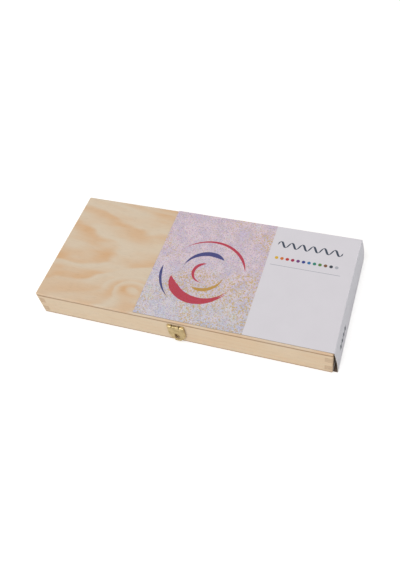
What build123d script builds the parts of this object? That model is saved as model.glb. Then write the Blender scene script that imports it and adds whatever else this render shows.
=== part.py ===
"""Gouache paint set box: a pine case with hinged lid, brass clasp, tubes of paint and a card wrap.

Millimetres. +X runs along the case to the right, -Y faces the front, +Z is up. The origin is the
middle of the underside. The lid is closed, the clasp hangs shut and the card wrap is on.
"""
from build123d import *
import os
from math import cos, radians, sin

os.makedirs("parts", exist_ok=True)

# ---- Paint tubes and tools: what the case is sized round ----
tube_count = 12
tube_radius = 8.75
tube_crimp_width = 27.5      # half the tube's girth, pressed flat
tube_crimp_thickness = 1.6
tube_crimp_length = 8.0
tube_barrel_length = 36.0    # the full round stretch behind the shoulder
tube_taper_length = 45.0
tube_shoulder_length = 4.0
tube_neck_radius = 4.2
tube_neck_length = 9.0
tube_collar_radius = 5.2
tube_cap_radius = 6.6
tube_cap_length = 15.0
tube_cap_ribs = 24
tube_cap_rib_depth = 0.35
tube_side_gap = 0.8          # between two crimps
tube_lift = 1.5              # underside of a tube above the floor of the case

brush_handle_length = 150.0
brush_handle_radius = 3.4
brush_handle_tip_radius = 1.6
brush_ferrule_length = 22.0
brush_ferrule_radius = 3.0
brush_hair_length = 19.0
brush_hair_radius = 2.6
brush_hair_tip = 0.2
brush_belly_x = 118.0
brush_ferrule_wall = 0.25
brush_crimp_inset = 3.0
brush_crimp_width = 0.8
brush_divider_gap = 9.0      # brush axis to the divider
pen_holder_length = 158.0
pen_holder_radius = 4.3
pen_holder_tip_radius = 2.0
pen_ferrule_length = 14.0
pen_ferrule_wall = 0.5       # beside the nib
pen_nib_length = 32.0
pen_nib_width = 6.2
pen_nib_thickness = 0.5
pen_nib_seat = 9.0           # how far the nib goes into its ferrule
pen_nib_shoulder = 17.0
pen_nib_point = 0.4
pen_wall_gap = 8.0           # pen axis to the front board

# ---- Case ----
wall = 9.0
base_height = 17.6           # of the four boards below the saw line
lid_height = 17.6            # of the four boards above it
saw_gap = 0.2
top_panel_thickness = 3.4
bottom_panel_thickness = 3.0
bottom_panel_rebate = 4.0    # how far the bottom panel is let into the boards
edge_round = 1.5
panel_groove = 1.0           # leg of the V-groove round the top panel
finger_margin = 5.0          # from the outer edge of a board to its first finger
finger_height = 9.2
glue_line = 0.06
row_end_gap = 1.2            # from the tube row to the end boards
tube_end_gap = 1.0
divider_thickness = 4.0
divider_height = 12.0
tool_compartment = 30.0
fit_gap = 0.2                # round the loose inner fittings
rest_thickness = 7.0
rest_share = 0.88            # how much of the tube's radius its cradle takes in

# ---- Hinges at the back ----
hinge_spacing = 220.0
hinge_width = 26.0
hinge_leaf_height = 11.0
hinge_leaf_thickness = 0.8
hinge_barrel_radius = 1.6
hinge_pin_radius = 0.8
hinge_axis_offset = 1.9      # axis behind the back of the case
hinge_middle_knuckle = 10.0
hinge_leaf_gap = 0.3         # leaf to the other leaf's knuckles
hinge_screw_inset = 5.5      # from the leaf's ends
screw_head_radius = 1.9
screw_head_height = 0.8
screw_shank_radius = 0.8
screw_shank_length = 6.5
screw_slot = 0.6

# ---- Clasp at the front ----
clasp_width = 20.8
clasp_tip_width = 13.0
clasp_axis_drop = 5.2        # axis below the top panel
clasp_foot_z = 5.2           # lower edge of the cover above the table
clasp_taper_drop = 3.7       # where the cover starts to narrow, below the saw line
clasp_axis_offset = 1.7      # axis in front of the case
clasp_barrel_radius = 1.4
clasp_pin_radius = 0.5
clasp_middle_knuckle = 8.8
clasp_sheet = 0.7
clasp_depth = 2.4            # front of the cover in front of the case
clasp_rim_gap = 0.25         # rim of the cover to the leaf and catch
clasp_notch_gap = 0.25       # round the barrel
clasp_corner_round = 2.0
clasp_edge_round = 0.5
clasp_window_width = 5.0
clasp_window_height = 9.0
clasp_window_drop = 5.1      # middle of the window below the saw line
clasp_lip_reach = 1.5
clasp_lip_drop = 1.0
clasp_lip_width = 8.0
leaf_sheet = 0.5
lid_leaf_width = 16.0
lid_leaf_rise = 1.9          # lower edge of the lid's leaf above the saw line
lid_leaf_strip = 0.6         # of the leaf that shows above the barrel
leaf_nail_inset = 2.5
catch_width = 9.6
catch_border = 0.6           # round the catch's nail heads
catch_corner_round = 1.0
catch_button_radius = 1.7
catch_button_round = 0.4
catch_button_gap = 0.15      # button to the back of the cover
catch_mouth_gap = 0.2        # either side of the catch, at the open foot of the cover
catch_nail_gap = 0.3         # nail head to button
nail_head_radius = 0.9
nail_head_height = 0.4
nail_shank_radius = 0.45
nail_shank_length = 4.0

# ---- Card wrap ----
card = 0.5
card_length = 232.4          # top panel, from its free edge to the fold at the right end
card_front_margin = 1.8
card_back_margin = 0.3
card_lift = 0.1
card_fold_gap = 0.4          # fold to the right end of the case
card_bow = 5.2               # how far the end panel stands out at its foot
card_bow_middle = 3.7
card_foot_z = 0.4
card_flap_gap = 0.6

running_gap = 0.05
knuckle_gap = 0.15
shank_gap = 0.02

# ---- Worked out from the above ----
tube_pitch = tube_crimp_width + tube_side_gap
inner_length = tube_count * tube_pitch + 2 * row_end_gap
tube_body_length = tube_shoulder_length + tube_barrel_length + tube_taper_length + tube_crimp_length
tube_length = tube_cap_length + tube_body_length
inner_depth = tube_end_gap + tube_length + tube_end_gap + divider_thickness + tool_compartment
case_length = inner_length + 2 * wall
case_depth = inner_depth + 2 * wall
saw_z = base_height + saw_gap / 2
lid_z = base_height + saw_gap
panel_z = lid_z + lid_height
case_height = panel_z + top_panel_thickness
floor_z = bottom_panel_thickness
front_y = -case_depth / 2
back_y = case_depth / 2
right_x = case_length / 2
tube_axis_z = floor_z + tube_lift + tube_radius
crimp_end_y = back_y - wall - tube_end_gap
shoulder_y = crimp_end_y - tube_body_length
cap_end_y = shoulder_y - tube_cap_length
divider_y = cap_end_y - tube_end_gap - divider_thickness / 2
brush_length = brush_handle_length + brush_ferrule_length + brush_hair_length
brush_y = divider_y - divider_thickness / 2 - brush_divider_gap
pen_length = pen_holder_length + pen_ferrule_length - pen_nib_seat + pen_nib_length
pen_y = front_y + wall + pen_wall_gap
pen_ferrule_radius = pen_nib_width / 2 + pen_ferrule_wall
hinge_notch = hinge_barrel_radius + hinge_leaf_gap
hinge_screw_drop = (hinge_notch + hinge_leaf_height) / 2
hinge_screw_reach = hinge_width / 2 - hinge_screw_inset
clasp_axis_z = panel_z - clasp_axis_drop
clasp_window_z = saw_z - clasp_window_drop
clasp_notch = clasp_barrel_radius + clasp_notch_gap
lid_leaf_bottom_z = saw_z + lid_leaf_rise
leaf_nail_x = lid_leaf_width / 2 - leaf_nail_inset
leaf_nail_z = (lid_leaf_bottom_z + clasp_axis_z - clasp_barrel_radius) / 2
catch_nail_reach = catch_button_radius + catch_nail_gap + nail_head_radius
catch_height = 2 * (catch_nail_reach + nail_head_radius + catch_border)


def save(part, node):
    """Name a finished piece and write it to its own file."""
    part.label = node
    export_step(part, f"parts/{node}.step")


# ---- The case's outer form, which all boards are sanded to after gluing ----
with BuildPart() as frame_form:
    Box(case_length, case_depth, panel_z, align=(Align.CENTER, Align.CENTER, Align.MIN))
    outer_edges = frame_form.edges().filter_by(Axis.Z) + frame_form.faces().sort_by(Axis.Z)[0].edges()
    fillet(outer_edges, radius=edge_round)
    chamfer(frame_form.faces().sort_by(Axis.Z)[-1].edges(), length=panel_groove)

with BuildPart() as bottom_pocket:
    Box(
        inner_length + 2 * (bottom_panel_rebate + glue_line),
        inner_depth + 2 * (bottom_panel_rebate + glue_line),
        bottom_panel_thickness,
        align=(Align.CENTER, Align.CENTER, Align.MIN),
    )


def long_board(node, span, fingers, outward, holes, hole_radius, hole_depth):
    """A front (outward -1) or back (outward +1) board, notched at both ends for a finger."""
    face = Plane.XZ.offset(-outward * case_depth / 2)
    with BuildPart() as board:
        with BuildSketch(face):
            with Locations((0, sum(span) / 2)):
                Rectangle(case_length, span[1] - span[0])
            for end in (-1, 1):
                with Locations((end * (right_x - wall / 2), sum(fingers) / 2)):
                    Rectangle(wall, fingers[1] - fingers[0], mode=Mode.SUBTRACT)
        extrude(amount=outward * wall)
        with BuildSketch(face):
            with Locations(*holes):
                Circle(hole_radius + shank_gap)
        extrude(amount=outward * hole_depth, mode=Mode.SUBTRACT)
        add(bottom_pocket.part, mode=Mode.SUBTRACT)
        add(frame_form.part, mode=Mode.INTERSECT)
    save(board.part, node)


def end_board(node, span, fingers, outward):
    """A left (outward -1) or right (outward +1) board, with a finger at its front and back ends."""
    with BuildPart() as board:
        with BuildSketch(Plane.YZ.offset(outward * right_x)):
            with Locations((0, sum(span) / 2)):
                Rectangle(inner_depth - 2 * glue_line, span[1] - span[0])
            with Locations((0, sum(fingers) / 2)):
                Rectangle(case_depth, fingers[1] - fingers[0] - 2 * glue_line)
        extrude(amount=-outward * (wall - glue_line))
        add(bottom_pocket.part, mode=Mode.SUBTRACT)
        add(frame_form.part, mode=Mode.INTERSECT)
    save(board.part, node)


base_span = (0, base_height)
lid_span = (lid_z, panel_z)
base_fingers = (finger_margin, finger_margin + finger_height)
lid_fingers = (panel_z - finger_margin - finger_height, panel_z - finger_margin)

hinge_xs = {"left": -hinge_spacing / 2, "right": hinge_spacing / 2}
screw_xs = [x + side * hinge_screw_reach for x in hinge_xs.values() for side in (-1, 1)]
base_screws = [(x, saw_z - hinge_screw_drop) for x in screw_xs]
lid_screws = [(x, saw_z + hinge_screw_drop) for x in screw_xs]
leaf_nails = [(side * leaf_nail_x, leaf_nail_z) for side in (-1, 1)]
catch_nails = [(0, clasp_window_z + side * catch_nail_reach) for side in (-1, 1)]

long_board("base_front_wall", base_span, base_fingers, -1, catch_nails, nail_shank_radius, nail_shank_length)
long_board("base_back_wall", base_span, base_fingers, 1, base_screws, screw_shank_radius, screw_shank_length)
long_board("lid_front_wall", lid_span, lid_fingers, -1, leaf_nails, nail_shank_radius, nail_shank_length)
long_board("lid_back_wall", lid_span, lid_fingers, 1, lid_screws, screw_shank_radius, screw_shank_length)
end_board("base_left_wall", base_span, base_fingers, -1)
end_board("base_right_wall", base_span, base_fingers, 1)
end_board("lid_left_wall", lid_span, lid_fingers, -1)
end_board("lid_right_wall", lid_span, lid_fingers, 1)

with BuildPart() as base_bottom_panel:
    Box(
        inner_length + 2 * bottom_panel_rebate,
        inner_depth + 2 * bottom_panel_rebate,
        bottom_panel_thickness,
        align=(Align.CENTER, Align.CENTER, Align.MIN),
    )
save(base_bottom_panel.part, "base_bottom_panel")

with BuildPart() as lid_top_panel:
    with BuildSketch(Plane.XY.offset(panel_z)):
        Rectangle(case_length, case_depth)
    extrude(amount=top_panel_thickness)
    top_edges = lid_top_panel.faces().sort_by(Axis.Z)[-1].edges()
    fillet(lid_top_panel.edges().filter_by(Axis.Z) + top_edges, radius=edge_round)
    chamfer(lid_top_panel.faces().sort_by(Axis.Z)[0].edges(), length=panel_groove)
save(lid_top_panel.part, "lid_top_panel")

# ---- Inner fittings ----
with BuildPart() as compartment_divider:
    with BuildSketch(Plane.XY.offset(floor_z)):
        with Locations((0, divider_y)):
            Rectangle(inner_length - 2 * fit_gap, divider_thickness)
    extrude(amount=divider_height)
    chamfer(compartment_divider.faces().sort_by(Axis.Z)[-1].edges().filter_by(Axis.X), length=0.5)
save(compartment_divider.part, "compartment_divider")

tube_xs = [(number - (tube_count - 1) / 2) * tube_pitch for number in range(tube_count)]
rest_height = tube_lift + tube_radius * rest_share
rest_places = {
    "tube_rest_front": shoulder_y + tube_shoulder_length + rest_thickness / 2,
    "tube_rest_back": shoulder_y + tube_shoulder_length + tube_barrel_length - rest_thickness / 2,
}
for node, rest_y in rest_places.items():
    with BuildPart() as tube_rest:
        with BuildSketch(Plane.XZ.offset(-rest_y - rest_thickness / 2)):
            with Locations((0, floor_z + rest_height / 2)):
                Rectangle(inner_length - 2 * fit_gap, rest_height)
            with Locations(*[(x, tube_axis_z) for x in tube_xs]):
                Circle(tube_radius + fit_gap, mode=Mode.SUBTRACT)
        extrude(amount=rest_thickness)
    save(tube_rest.part, node)

# ---- Tubes, each with its screw cap ----
tube_front = Plane(origin=(0, shoulder_y, tube_axis_z), x_dir=(1, 0, 0), z_dir=(0, 1, 0))
barrel_end = tube_shoulder_length + tube_barrel_length
taper_end = barrel_end + tube_taper_length
with BuildPart() as tube:
    with BuildSketch(tube_front.offset(-tube_neck_length)):
        Circle(tube_neck_radius)
    extrude(amount=tube_neck_length)
    with BuildSketch(tube_front):
        Circle(tube_collar_radius)
    with BuildSketch(tube_front.offset(tube_shoulder_length)):
        Circle(tube_radius)
    loft()
    with BuildSketch(tube_front.offset(tube_shoulder_length)):
        Circle(tube_radius)
    extrude(amount=tube_barrel_length)
    with BuildSketch(tube_front.offset(barrel_end)):
        Circle(tube_radius)
    with BuildSketch(tube_front.offset(taper_end)):
        SlotOverall(tube_crimp_width, tube_crimp_thickness)
    loft()
    with BuildSketch(tube_front.offset(taper_end)):
        Rectangle(tube_crimp_width, tube_crimp_thickness)
    extrude(amount=tube_crimp_length)

with BuildPart() as tube_cap:
    with BuildSketch(tube_front.offset(-tube_cap_length)):
        Circle(tube_cap_radius)
        with PolarLocations(tube_cap_radius, tube_cap_ribs):
            Circle(tube_cap_rib_depth, mode=Mode.SUBTRACT)
    extrude(amount=tube_cap_length - running_gap)
    with BuildSketch(tube_front):
        Circle(tube_neck_radius + running_gap)
    extrude(amount=-tube_neck_length - running_gap, mode=Mode.SUBTRACT)

for number, x in enumerate(tube_xs, start=1):
    save(Pos(x, 0, 0) * tube.part, f"tube_{number:02d}")
    save(Pos(x, 0, 0) * tube_cap.part, f"tube_cap_{number:02d}")


# ---- Brush and dip pen, lying in the front compartment ----
def tool_plane(start_x, y, radius):
    """The upright plane through a tool's axis, with the tool's start at its origin."""
    z = floor_z + radius + running_gap
    return Plane(origin=(start_x, y, z), x_dir=(1, 0, 0), z_dir=(0, -1, 0))


brush_plane = tool_plane(-brush_length / 2, brush_y, brush_handle_radius)
brush_axis = Axis(brush_plane.origin, (1, 0, 0))
ferrule_x = brush_handle_length
hair_x = ferrule_x + brush_ferrule_length
with BuildPart() as brush_handle:
    with BuildSketch(brush_plane):
        with BuildLine():
            tip = ThreePointArc(
                (0, 0),
                (brush_handle_tip_radius * (1 - sin(radians(45))), brush_handle_tip_radius * cos(radians(45))),
                (brush_handle_tip_radius, brush_handle_tip_radius),
            )
            belly = Spline(
                tip @ 1,
                (brush_belly_x, brush_handle_radius),
                (ferrule_x, brush_ferrule_radius),
                tangents=[(1, 0), (1, 0), (1, -0.05)],
            )
            Polyline(belly @ 1, (ferrule_x, 0), (0, 0))
        make_face()
    revolve(axis=brush_axis)
save(brush_handle.part, "brush_handle")

with BuildPart() as brush_ferrule:
    with BuildSketch(brush_plane):
        with BuildLine():
            Polyline(
                (ferrule_x, 0),
                (ferrule_x, brush_ferrule_radius + brush_ferrule_wall),
                (hair_x, brush_hair_radius),
                (hair_x, 0),
                close=True,
            )
        make_face()
    revolve(axis=brush_axis)
    for crimp_x in (ferrule_x + brush_crimp_inset, ferrule_x + 2 * brush_crimp_inset):
        with BuildSketch(Plane(brush_plane.origin + (crimp_x, 0, 0), x_dir=(0, 1, 0), z_dir=(1, 0, 0))):
            Circle(2 * brush_ferrule_radius)
            Circle(brush_ferrule_radius - brush_ferrule_wall, mode=Mode.SUBTRACT)
        extrude(amount=brush_crimp_width, mode=Mode.SUBTRACT)
save(brush_ferrule.part, "brush_ferrule")

with BuildPart() as brush_hair:
    with BuildSketch(brush_plane):
        with BuildLine():
            side = Spline(
                (hair_x, brush_hair_radius - brush_ferrule_wall),
                (hair_x + brush_hair_length / 3, brush_hair_radius),
                (hair_x + brush_hair_length, brush_hair_tip),
                tangents=[(1, 0.15), (1, 0), (1, -0.35)],
            )
            Polyline(side @ 1, (hair_x + brush_hair_length, 0), (hair_x, 0), side @ 0)
        make_face()
    revolve(axis=brush_axis)
save(brush_hair.part, "brush_hair")

pen_plane = tool_plane(-pen_length / 2, pen_y, pen_holder_radius)
pen_axis = Axis(pen_plane.origin, (1, 0, 0))
pen_ferrule_x = pen_holder_length
nib_x = pen_ferrule_x + pen_ferrule_length
with BuildPart() as pen_holder:
    with BuildSketch(pen_plane):
        with BuildLine():
            tip = ThreePointArc(
                (0, 0),
                (pen_holder_tip_radius * (1 - sin(radians(45))), pen_holder_tip_radius * cos(radians(45))),
                (pen_holder_tip_radius, pen_holder_tip_radius),
            )
            side = Spline(
                tip @ 1,
                (pen_holder_length * 0.8, pen_holder_radius),
                (pen_ferrule_x, pen_ferrule_radius),
                tangents=[(1, 0), (1, 0), (1, -0.1)],
            )
            Polyline(side @ 1, (pen_ferrule_x, 0), (0, 0))
        make_face()
    revolve(axis=pen_axis)
save(pen_holder.part, "pen_holder")

nib_seat = Plane(pen_plane.origin + (nib_x, 0, 0), x_dir=(0, 1, 0), z_dir=(1, 0, 0))
with BuildPart() as pen_ferrule:
    with BuildSketch(nib_seat):
        Circle(pen_ferrule_radius)
        Rectangle(pen_nib_width + 2 * shank_gap, pen_nib_thickness + 2 * shank_gap, mode=Mode.SUBTRACT)
    extrude(amount=-pen_ferrule_length)
save(pen_ferrule.part, "pen_ferrule")

with BuildPart() as pen_nib:
    with BuildSketch(Plane.XY.offset(pen_plane.origin.Z)):
        with BuildLine(Location(pen_plane.origin + (nib_x - pen_nib_seat, 0, 0))):
            Polyline(
                (0, pen_nib_width / 2),
                (pen_nib_shoulder, pen_nib_width / 2),
                (pen_nib_length, pen_nib_point / 2),
                (pen_nib_length, -pen_nib_point / 2),
                (pen_nib_shoulder, -pen_nib_width / 2),
                (0, -pen_nib_width / 2),
                close=True,
            )
        make_face()
    extrude(amount=pen_nib_thickness / 2, both=True)
save(pen_nib.part, "pen_nib")


# ---- Fasteners: nails and screws with a low round head, each group in one node ----
def fasteners(node, centres, seat_y, outward, head, shank, slot=0.0):
    """Round-headed nails, or screws where slot is the driver slot's width. head and shank give radius, length."""
    seat = Plane.XZ.offset(-seat_y)
    crown = Plane.XZ.offset(-seat_y - outward * head[1])
    with BuildPart() as group:
        with BuildSketch(seat):
            with Locations(*centres):
                Circle(head[0])
        extrude(amount=-outward * head[1])
        fillet(group.faces().sort_by(Axis.Y)[:: -outward][: len(centres)].edges(), radius=head[1] * 0.6)
        with BuildSketch(seat):
            with Locations(*centres):
                Circle(shank[0])
        extrude(amount=outward * shank[1])
        if slot:
            with BuildSketch(crown):
                with Locations(*centres):
                    Rectangle(2 * head[0], slot)
            extrude(amount=outward * head[1] / 2, mode=Mode.SUBTRACT)
    save(group.part, node)


# ---- Hinges on the back of the case: two leaves and a pin each ----
hinge_axis_y = back_y + hinge_axis_offset
middle_zone = (-hinge_middle_knuckle / 2, hinge_middle_knuckle / 2)
outer_zones = [
    (-hinge_width / 2, middle_zone[0] - knuckle_gap),
    (middle_zone[1] + knuckle_gap, hinge_width / 2),
]


def hinge_leaf(node, centre_x, upward, knuckles, screws):
    """A hinge leaf on the back of the case, above (upward +1) or below (upward -1) the saw line."""
    with BuildPart() as leaf:
        with BuildSketch(Plane.XZ.offset(-back_y)):
            with Locations((centre_x, saw_z + upward * hinge_screw_drop)):
                Rectangle(hinge_width, hinge_leaf_height - hinge_notch)
            for low, high in knuckles:
                with Locations((centre_x + (low + high) / 2, saw_z + upward * hinge_notch / 2)):
                    Rectangle(high - low, hinge_notch)
            with Locations(*screws):
                Circle(screw_shank_radius + shank_gap, mode=Mode.SUBTRACT)
        extrude(amount=-hinge_leaf_thickness)
        for low, high in knuckles:
            with BuildSketch(Plane.YZ.offset(centre_x + low)):
                with Locations((hinge_axis_y, saw_z)):
                    Circle(hinge_barrel_radius)
            extrude(amount=high - low)
        with BuildSketch(Plane.YZ.offset(centre_x - hinge_width)):
            with Locations((hinge_axis_y, saw_z)):
                Circle(hinge_pin_radius + running_gap)
        extrude(amount=2 * hinge_width, mode=Mode.SUBTRACT)
    save(leaf.part, node)


for side, x in hinge_xs.items():
    side_base_screws = [screw for screw in base_screws if abs(screw[0] - x) < hinge_width]
    side_lid_screws = [screw for screw in lid_screws if abs(screw[0] - x) < hinge_width]
    hinge_leaf(f"{side}_hinge_base_leaf", x, -1, outer_zones, side_base_screws)
    hinge_leaf(f"{side}_hinge_lid_leaf", x, 1, [middle_zone], side_lid_screws)
    with BuildPart() as hinge_pin:
        with BuildSketch(Plane.YZ.offset(x - hinge_width / 2)):
            with Locations((hinge_axis_y, saw_z)):
                Circle(hinge_pin_radius)
        extrude(amount=hinge_width)
    save(hinge_pin.part, f"{side}_hinge_pin")

screw_head = (screw_head_radius, screw_head_height)
screw_shank = (screw_shank_radius, screw_shank_length)
screw_seat_y = back_y + hinge_leaf_thickness
fasteners("base_hinge_screws", base_screws, screw_seat_y, 1, screw_head, screw_shank, screw_slot)
fasteners("lid_hinge_screws", lid_screws, screw_seat_y, 1, screw_head, screw_shank, screw_slot)

# ---- Clasp: a leaf nailed to the lid, a swinging cover with a window, a catch nailed to the base ----
clasp_axis_y = front_y - clasp_axis_offset
clasp_knuckle_half = clasp_middle_knuckle / 2
with BuildPart() as clasp_lid_leaf:
    with BuildSketch(Plane.XZ.offset(-front_y)):
        with Locations((0, (lid_leaf_bottom_z + clasp_axis_z) / 2)):
            Rectangle(lid_leaf_width, clasp_axis_z - lid_leaf_bottom_z)
        with Locations((0, clasp_axis_z)):
            Rectangle(clasp_width - 2 * clasp_edge_round, 2 * clasp_notch)
            Rectangle(2 * (clasp_knuckle_half + knuckle_gap), 2 * clasp_notch, mode=Mode.SUBTRACT)
        with Locations((0, clasp_axis_z + clasp_notch + lid_leaf_strip / 2)):
            Rectangle(clasp_width - 2 * clasp_edge_round, lid_leaf_strip)
        with Locations(*leaf_nails):
            Circle(nail_shank_radius + shank_gap, mode=Mode.SUBTRACT)
    extrude(amount=leaf_sheet)
    for end in (-1, 1):
        with BuildSketch(Plane.YZ.offset(end * (clasp_knuckle_half + knuckle_gap))):
            with Locations((clasp_axis_y, clasp_axis_z)):
                Circle(clasp_barrel_radius)
        extrude(amount=end * (clasp_width / 2 - clasp_knuckle_half - knuckle_gap))
    with BuildSketch(Plane.YZ.offset(-clasp_width)):
        with Locations((clasp_axis_y, clasp_axis_z)):
            Circle(clasp_pin_radius + running_gap)
    extrude(amount=2 * clasp_width, mode=Mode.SUBTRACT)
save(clasp_lid_leaf.part, "clasp_lid_leaf")

with BuildPart() as clasp_pin:
    with BuildSketch(Plane.YZ.offset(-clasp_width / 2)):
        with Locations((clasp_axis_y, clasp_axis_z)):
            Circle(clasp_pin_radius)
    extrude(amount=clasp_width)
save(clasp_pin.part, "clasp_pin")

cover_top_z = clasp_axis_z - clasp_notch
cover_front = Plane.XZ.offset(-front_y + clasp_depth)
cover_rim_depth = clasp_depth - leaf_sheet - clasp_rim_gap
with BuildPart() as clasp_cover:
    with BuildSketch(cover_front) as cover_outline:
        with BuildLine():
            Polyline(
                (-clasp_width / 2, cover_top_z),
                (clasp_width / 2, cover_top_z),
                (clasp_width / 2, saw_z - clasp_taper_drop),
                (clasp_tip_width / 2, clasp_foot_z),
                (-clasp_tip_width / 2, clasp_foot_z),
                (-clasp_width / 2, saw_z - clasp_taper_drop),
                close=True,
            )
        make_face()
        fillet(cover_outline.vertices().group_by(Axis.Z)[:2], radius=clasp_corner_round)
    extrude(amount=-cover_rim_depth)
    fillet(clasp_cover.faces().sort_by(Axis.Y)[0].edges(), radius=clasp_edge_round)
    with BuildSketch(cover_front.offset(-clasp_sheet)):
        add(cover_outline.sketch_local)
        offset(amount=-clasp_sheet)
        with Locations((0, clasp_foot_z)):
            Rectangle(catch_width + 2 * catch_mouth_gap, 2 * clasp_corner_round)
    extrude(amount=clasp_sheet - cover_rim_depth, mode=Mode.SUBTRACT)
    with BuildSketch(cover_front):
        with Locations((0, (cover_top_z + clasp_axis_z) / 2)):
            Rectangle(clasp_middle_knuckle, clasp_axis_z - cover_top_z + 2 * clasp_sheet)
    extrude(amount=-clasp_sheet)
    with BuildSketch(Plane.YZ.offset(-clasp_knuckle_half)):
        with Locations((clasp_axis_y, clasp_axis_z)):
            Circle(clasp_barrel_radius)
    extrude(amount=clasp_middle_knuckle)
    with BuildSketch(Plane.YZ.offset(-clasp_width)):
        with Locations((clasp_axis_y, clasp_axis_z)):
            Circle(clasp_pin_radius + running_gap)
    extrude(amount=2 * clasp_width, mode=Mode.SUBTRACT)
    with BuildSketch(cover_front):
        with Locations((0, clasp_window_z)):
            SlotOverall(clasp_window_height, clasp_window_width, rotation=90)
    extrude(amount=-clasp_sheet, mode=Mode.SUBTRACT)
    with BuildSketch(Plane.YZ):
        with BuildLine(Location((front_y - clasp_depth, clasp_foot_z))):
            Polyline(
                (clasp_sheet, clasp_sheet),
                (clasp_sheet, 0),
                (-clasp_lip_reach, -clasp_lip_drop),
                (-clasp_lip_reach - clasp_sheet / 2, -clasp_lip_drop + clasp_sheet / 2),
                (0, clasp_sheet),
                close=True,
            )
        make_face()
    extrude(amount=clasp_lip_width / 2, both=True)
save(clasp_cover.part, "clasp_cover")

with BuildPart() as clasp_catch:
    with BuildSketch(Plane.XZ.offset(-front_y)):
        with Locations((0, clasp_window_z)):
            RectangleRounded(catch_width, catch_height, catch_corner_round)
        with Locations(*catch_nails):
            Circle(nail_shank_radius + shank_gap, mode=Mode.SUBTRACT)
    extrude(amount=leaf_sheet)
    with BuildSketch(Plane.XZ.offset(-front_y + leaf_sheet)):
        with Locations((0, clasp_window_z)):
            Circle(catch_button_radius)
    extrude(amount=clasp_depth - clasp_sheet - leaf_sheet - catch_button_gap)
    fillet(clasp_catch.faces().sort_by(Axis.Y)[0].edges(), radius=catch_button_round)
save(clasp_catch.part, "clasp_catch")

nail_head = (nail_head_radius, nail_head_height)
nail_shank = (nail_shank_radius, nail_shank_length)
fasteners("clasp_leaf_nails", leaf_nails, front_y - leaf_sheet, -1, nail_head, nail_shank)
fasteners("clasp_catch_nails", catch_nails, front_y - leaf_sheet, -1, nail_head, nail_shank)

# ---- Card wrap: top panel, bowed end panel and a narrow flap folded in under it ----
fold_x = right_x + card_fold_gap
card_z = case_height + card_lift
flap_z = card_foot_z + card
with BuildPart() as card_wrap:
    with BuildSketch(Plane.XZ.offset(-front_y - card_front_margin)):
        with BuildLine():
            Line((fold_x - card_length, card_z), (fold_x, card_z))
            ThreePointArc(
                (fold_x, card_z),
                (right_x + card_bow_middle, (card_z + flap_z) / 2),
                (right_x + card_bow, flap_z),
            )
            Line((right_x + card_bow, flap_z), (right_x + card_flap_gap, flap_z))
            offset(amount=card, side=Side.LEFT, kind=Kind.INTERSECTION)
        make_face()
    extrude(amount=-(case_depth - card_front_margin - card_back_margin))
save(card_wrap.part, "card_wrap")
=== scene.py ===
"""Looks of the gouache paint set box: bare pine, stamped brass, a printed card wrap and paint tubes.

Metres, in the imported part's own frame: +X runs along the case to the right, -Y faces the front and
+Z is up. Colours are written as six-digit sRGB codes.
"""
import logging
import math
from collections.abc import Callable
from dataclasses import dataclass
from enum import Enum
from functools import cache

import bmesh
import bpy
from bpy.types import ID, Material, Mesh, Node, NodeSocket, NodeTree, Object
from mathutils import Euler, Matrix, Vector


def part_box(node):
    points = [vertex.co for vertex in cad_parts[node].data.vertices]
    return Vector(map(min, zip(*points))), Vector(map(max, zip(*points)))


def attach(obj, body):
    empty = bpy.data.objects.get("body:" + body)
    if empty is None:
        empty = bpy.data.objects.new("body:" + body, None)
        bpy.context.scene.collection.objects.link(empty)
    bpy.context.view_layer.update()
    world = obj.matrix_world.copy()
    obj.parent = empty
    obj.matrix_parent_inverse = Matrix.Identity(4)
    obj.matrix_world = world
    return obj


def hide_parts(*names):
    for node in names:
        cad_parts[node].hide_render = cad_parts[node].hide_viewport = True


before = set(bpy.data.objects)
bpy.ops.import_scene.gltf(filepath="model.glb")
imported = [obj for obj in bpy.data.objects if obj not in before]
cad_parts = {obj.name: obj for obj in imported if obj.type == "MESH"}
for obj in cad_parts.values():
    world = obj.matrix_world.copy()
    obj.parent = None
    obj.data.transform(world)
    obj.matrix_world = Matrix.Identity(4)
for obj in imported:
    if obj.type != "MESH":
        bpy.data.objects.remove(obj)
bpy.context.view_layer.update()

MM = 0.001
WHITE = (1.0, 1.0, 1.0, 1.0)
TUBE_COUNT = 12
CASE_BOARDS = [
    f"{half}_{side}_wall" for half in ("base", "lid") for side in ("front", "back", "left", "right")
]
log = logging.getLogger("paint_box")

Colour = tuple[float, float, float, float]
Triple = tuple[float, float, float]


def srgb(code: str) -> Colour:
    """The linear colour of a six-digit sRGB code, with a full alpha."""
    channels = [int(code[at : at + 2], 16) / 255 for at in (0, 2, 4)]
    linear = [c / 12.92 if c <= 0.04045 else ((c + 0.055) / 1.055) ** 2.4 for c in channels]
    return (*linear, 1.0)


def spaced(values: dict[str, object]) -> dict[str, object]:
    """The same values by the names of their sockets, which have spaces for the underscores."""
    return {name.replace("_", " "): value for name, value in values.items()}


# ---- Node trees ----
def operation(name: str, flip: bool = False) -> Callable[..., "Signal"]:
    """A method of Signal that puts it, and another if need be, through a node for sums.

    Args:
        name: What the node does.
        flip: Whether the other one comes first.

    Returns:
        The method.
    """

    def apply(signal: "Signal", *others: "Value") -> "Signal":
        kind = "VectorMath" if signal.socket.type in ("VECTOR", "RGBA") else "Math"
        values = (*others, signal) if flip else (signal, *others)
        return signal.wiring.out(f"ShaderNode{kind}", dict(enumerate(values)), operation=name)

    return apply


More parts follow.
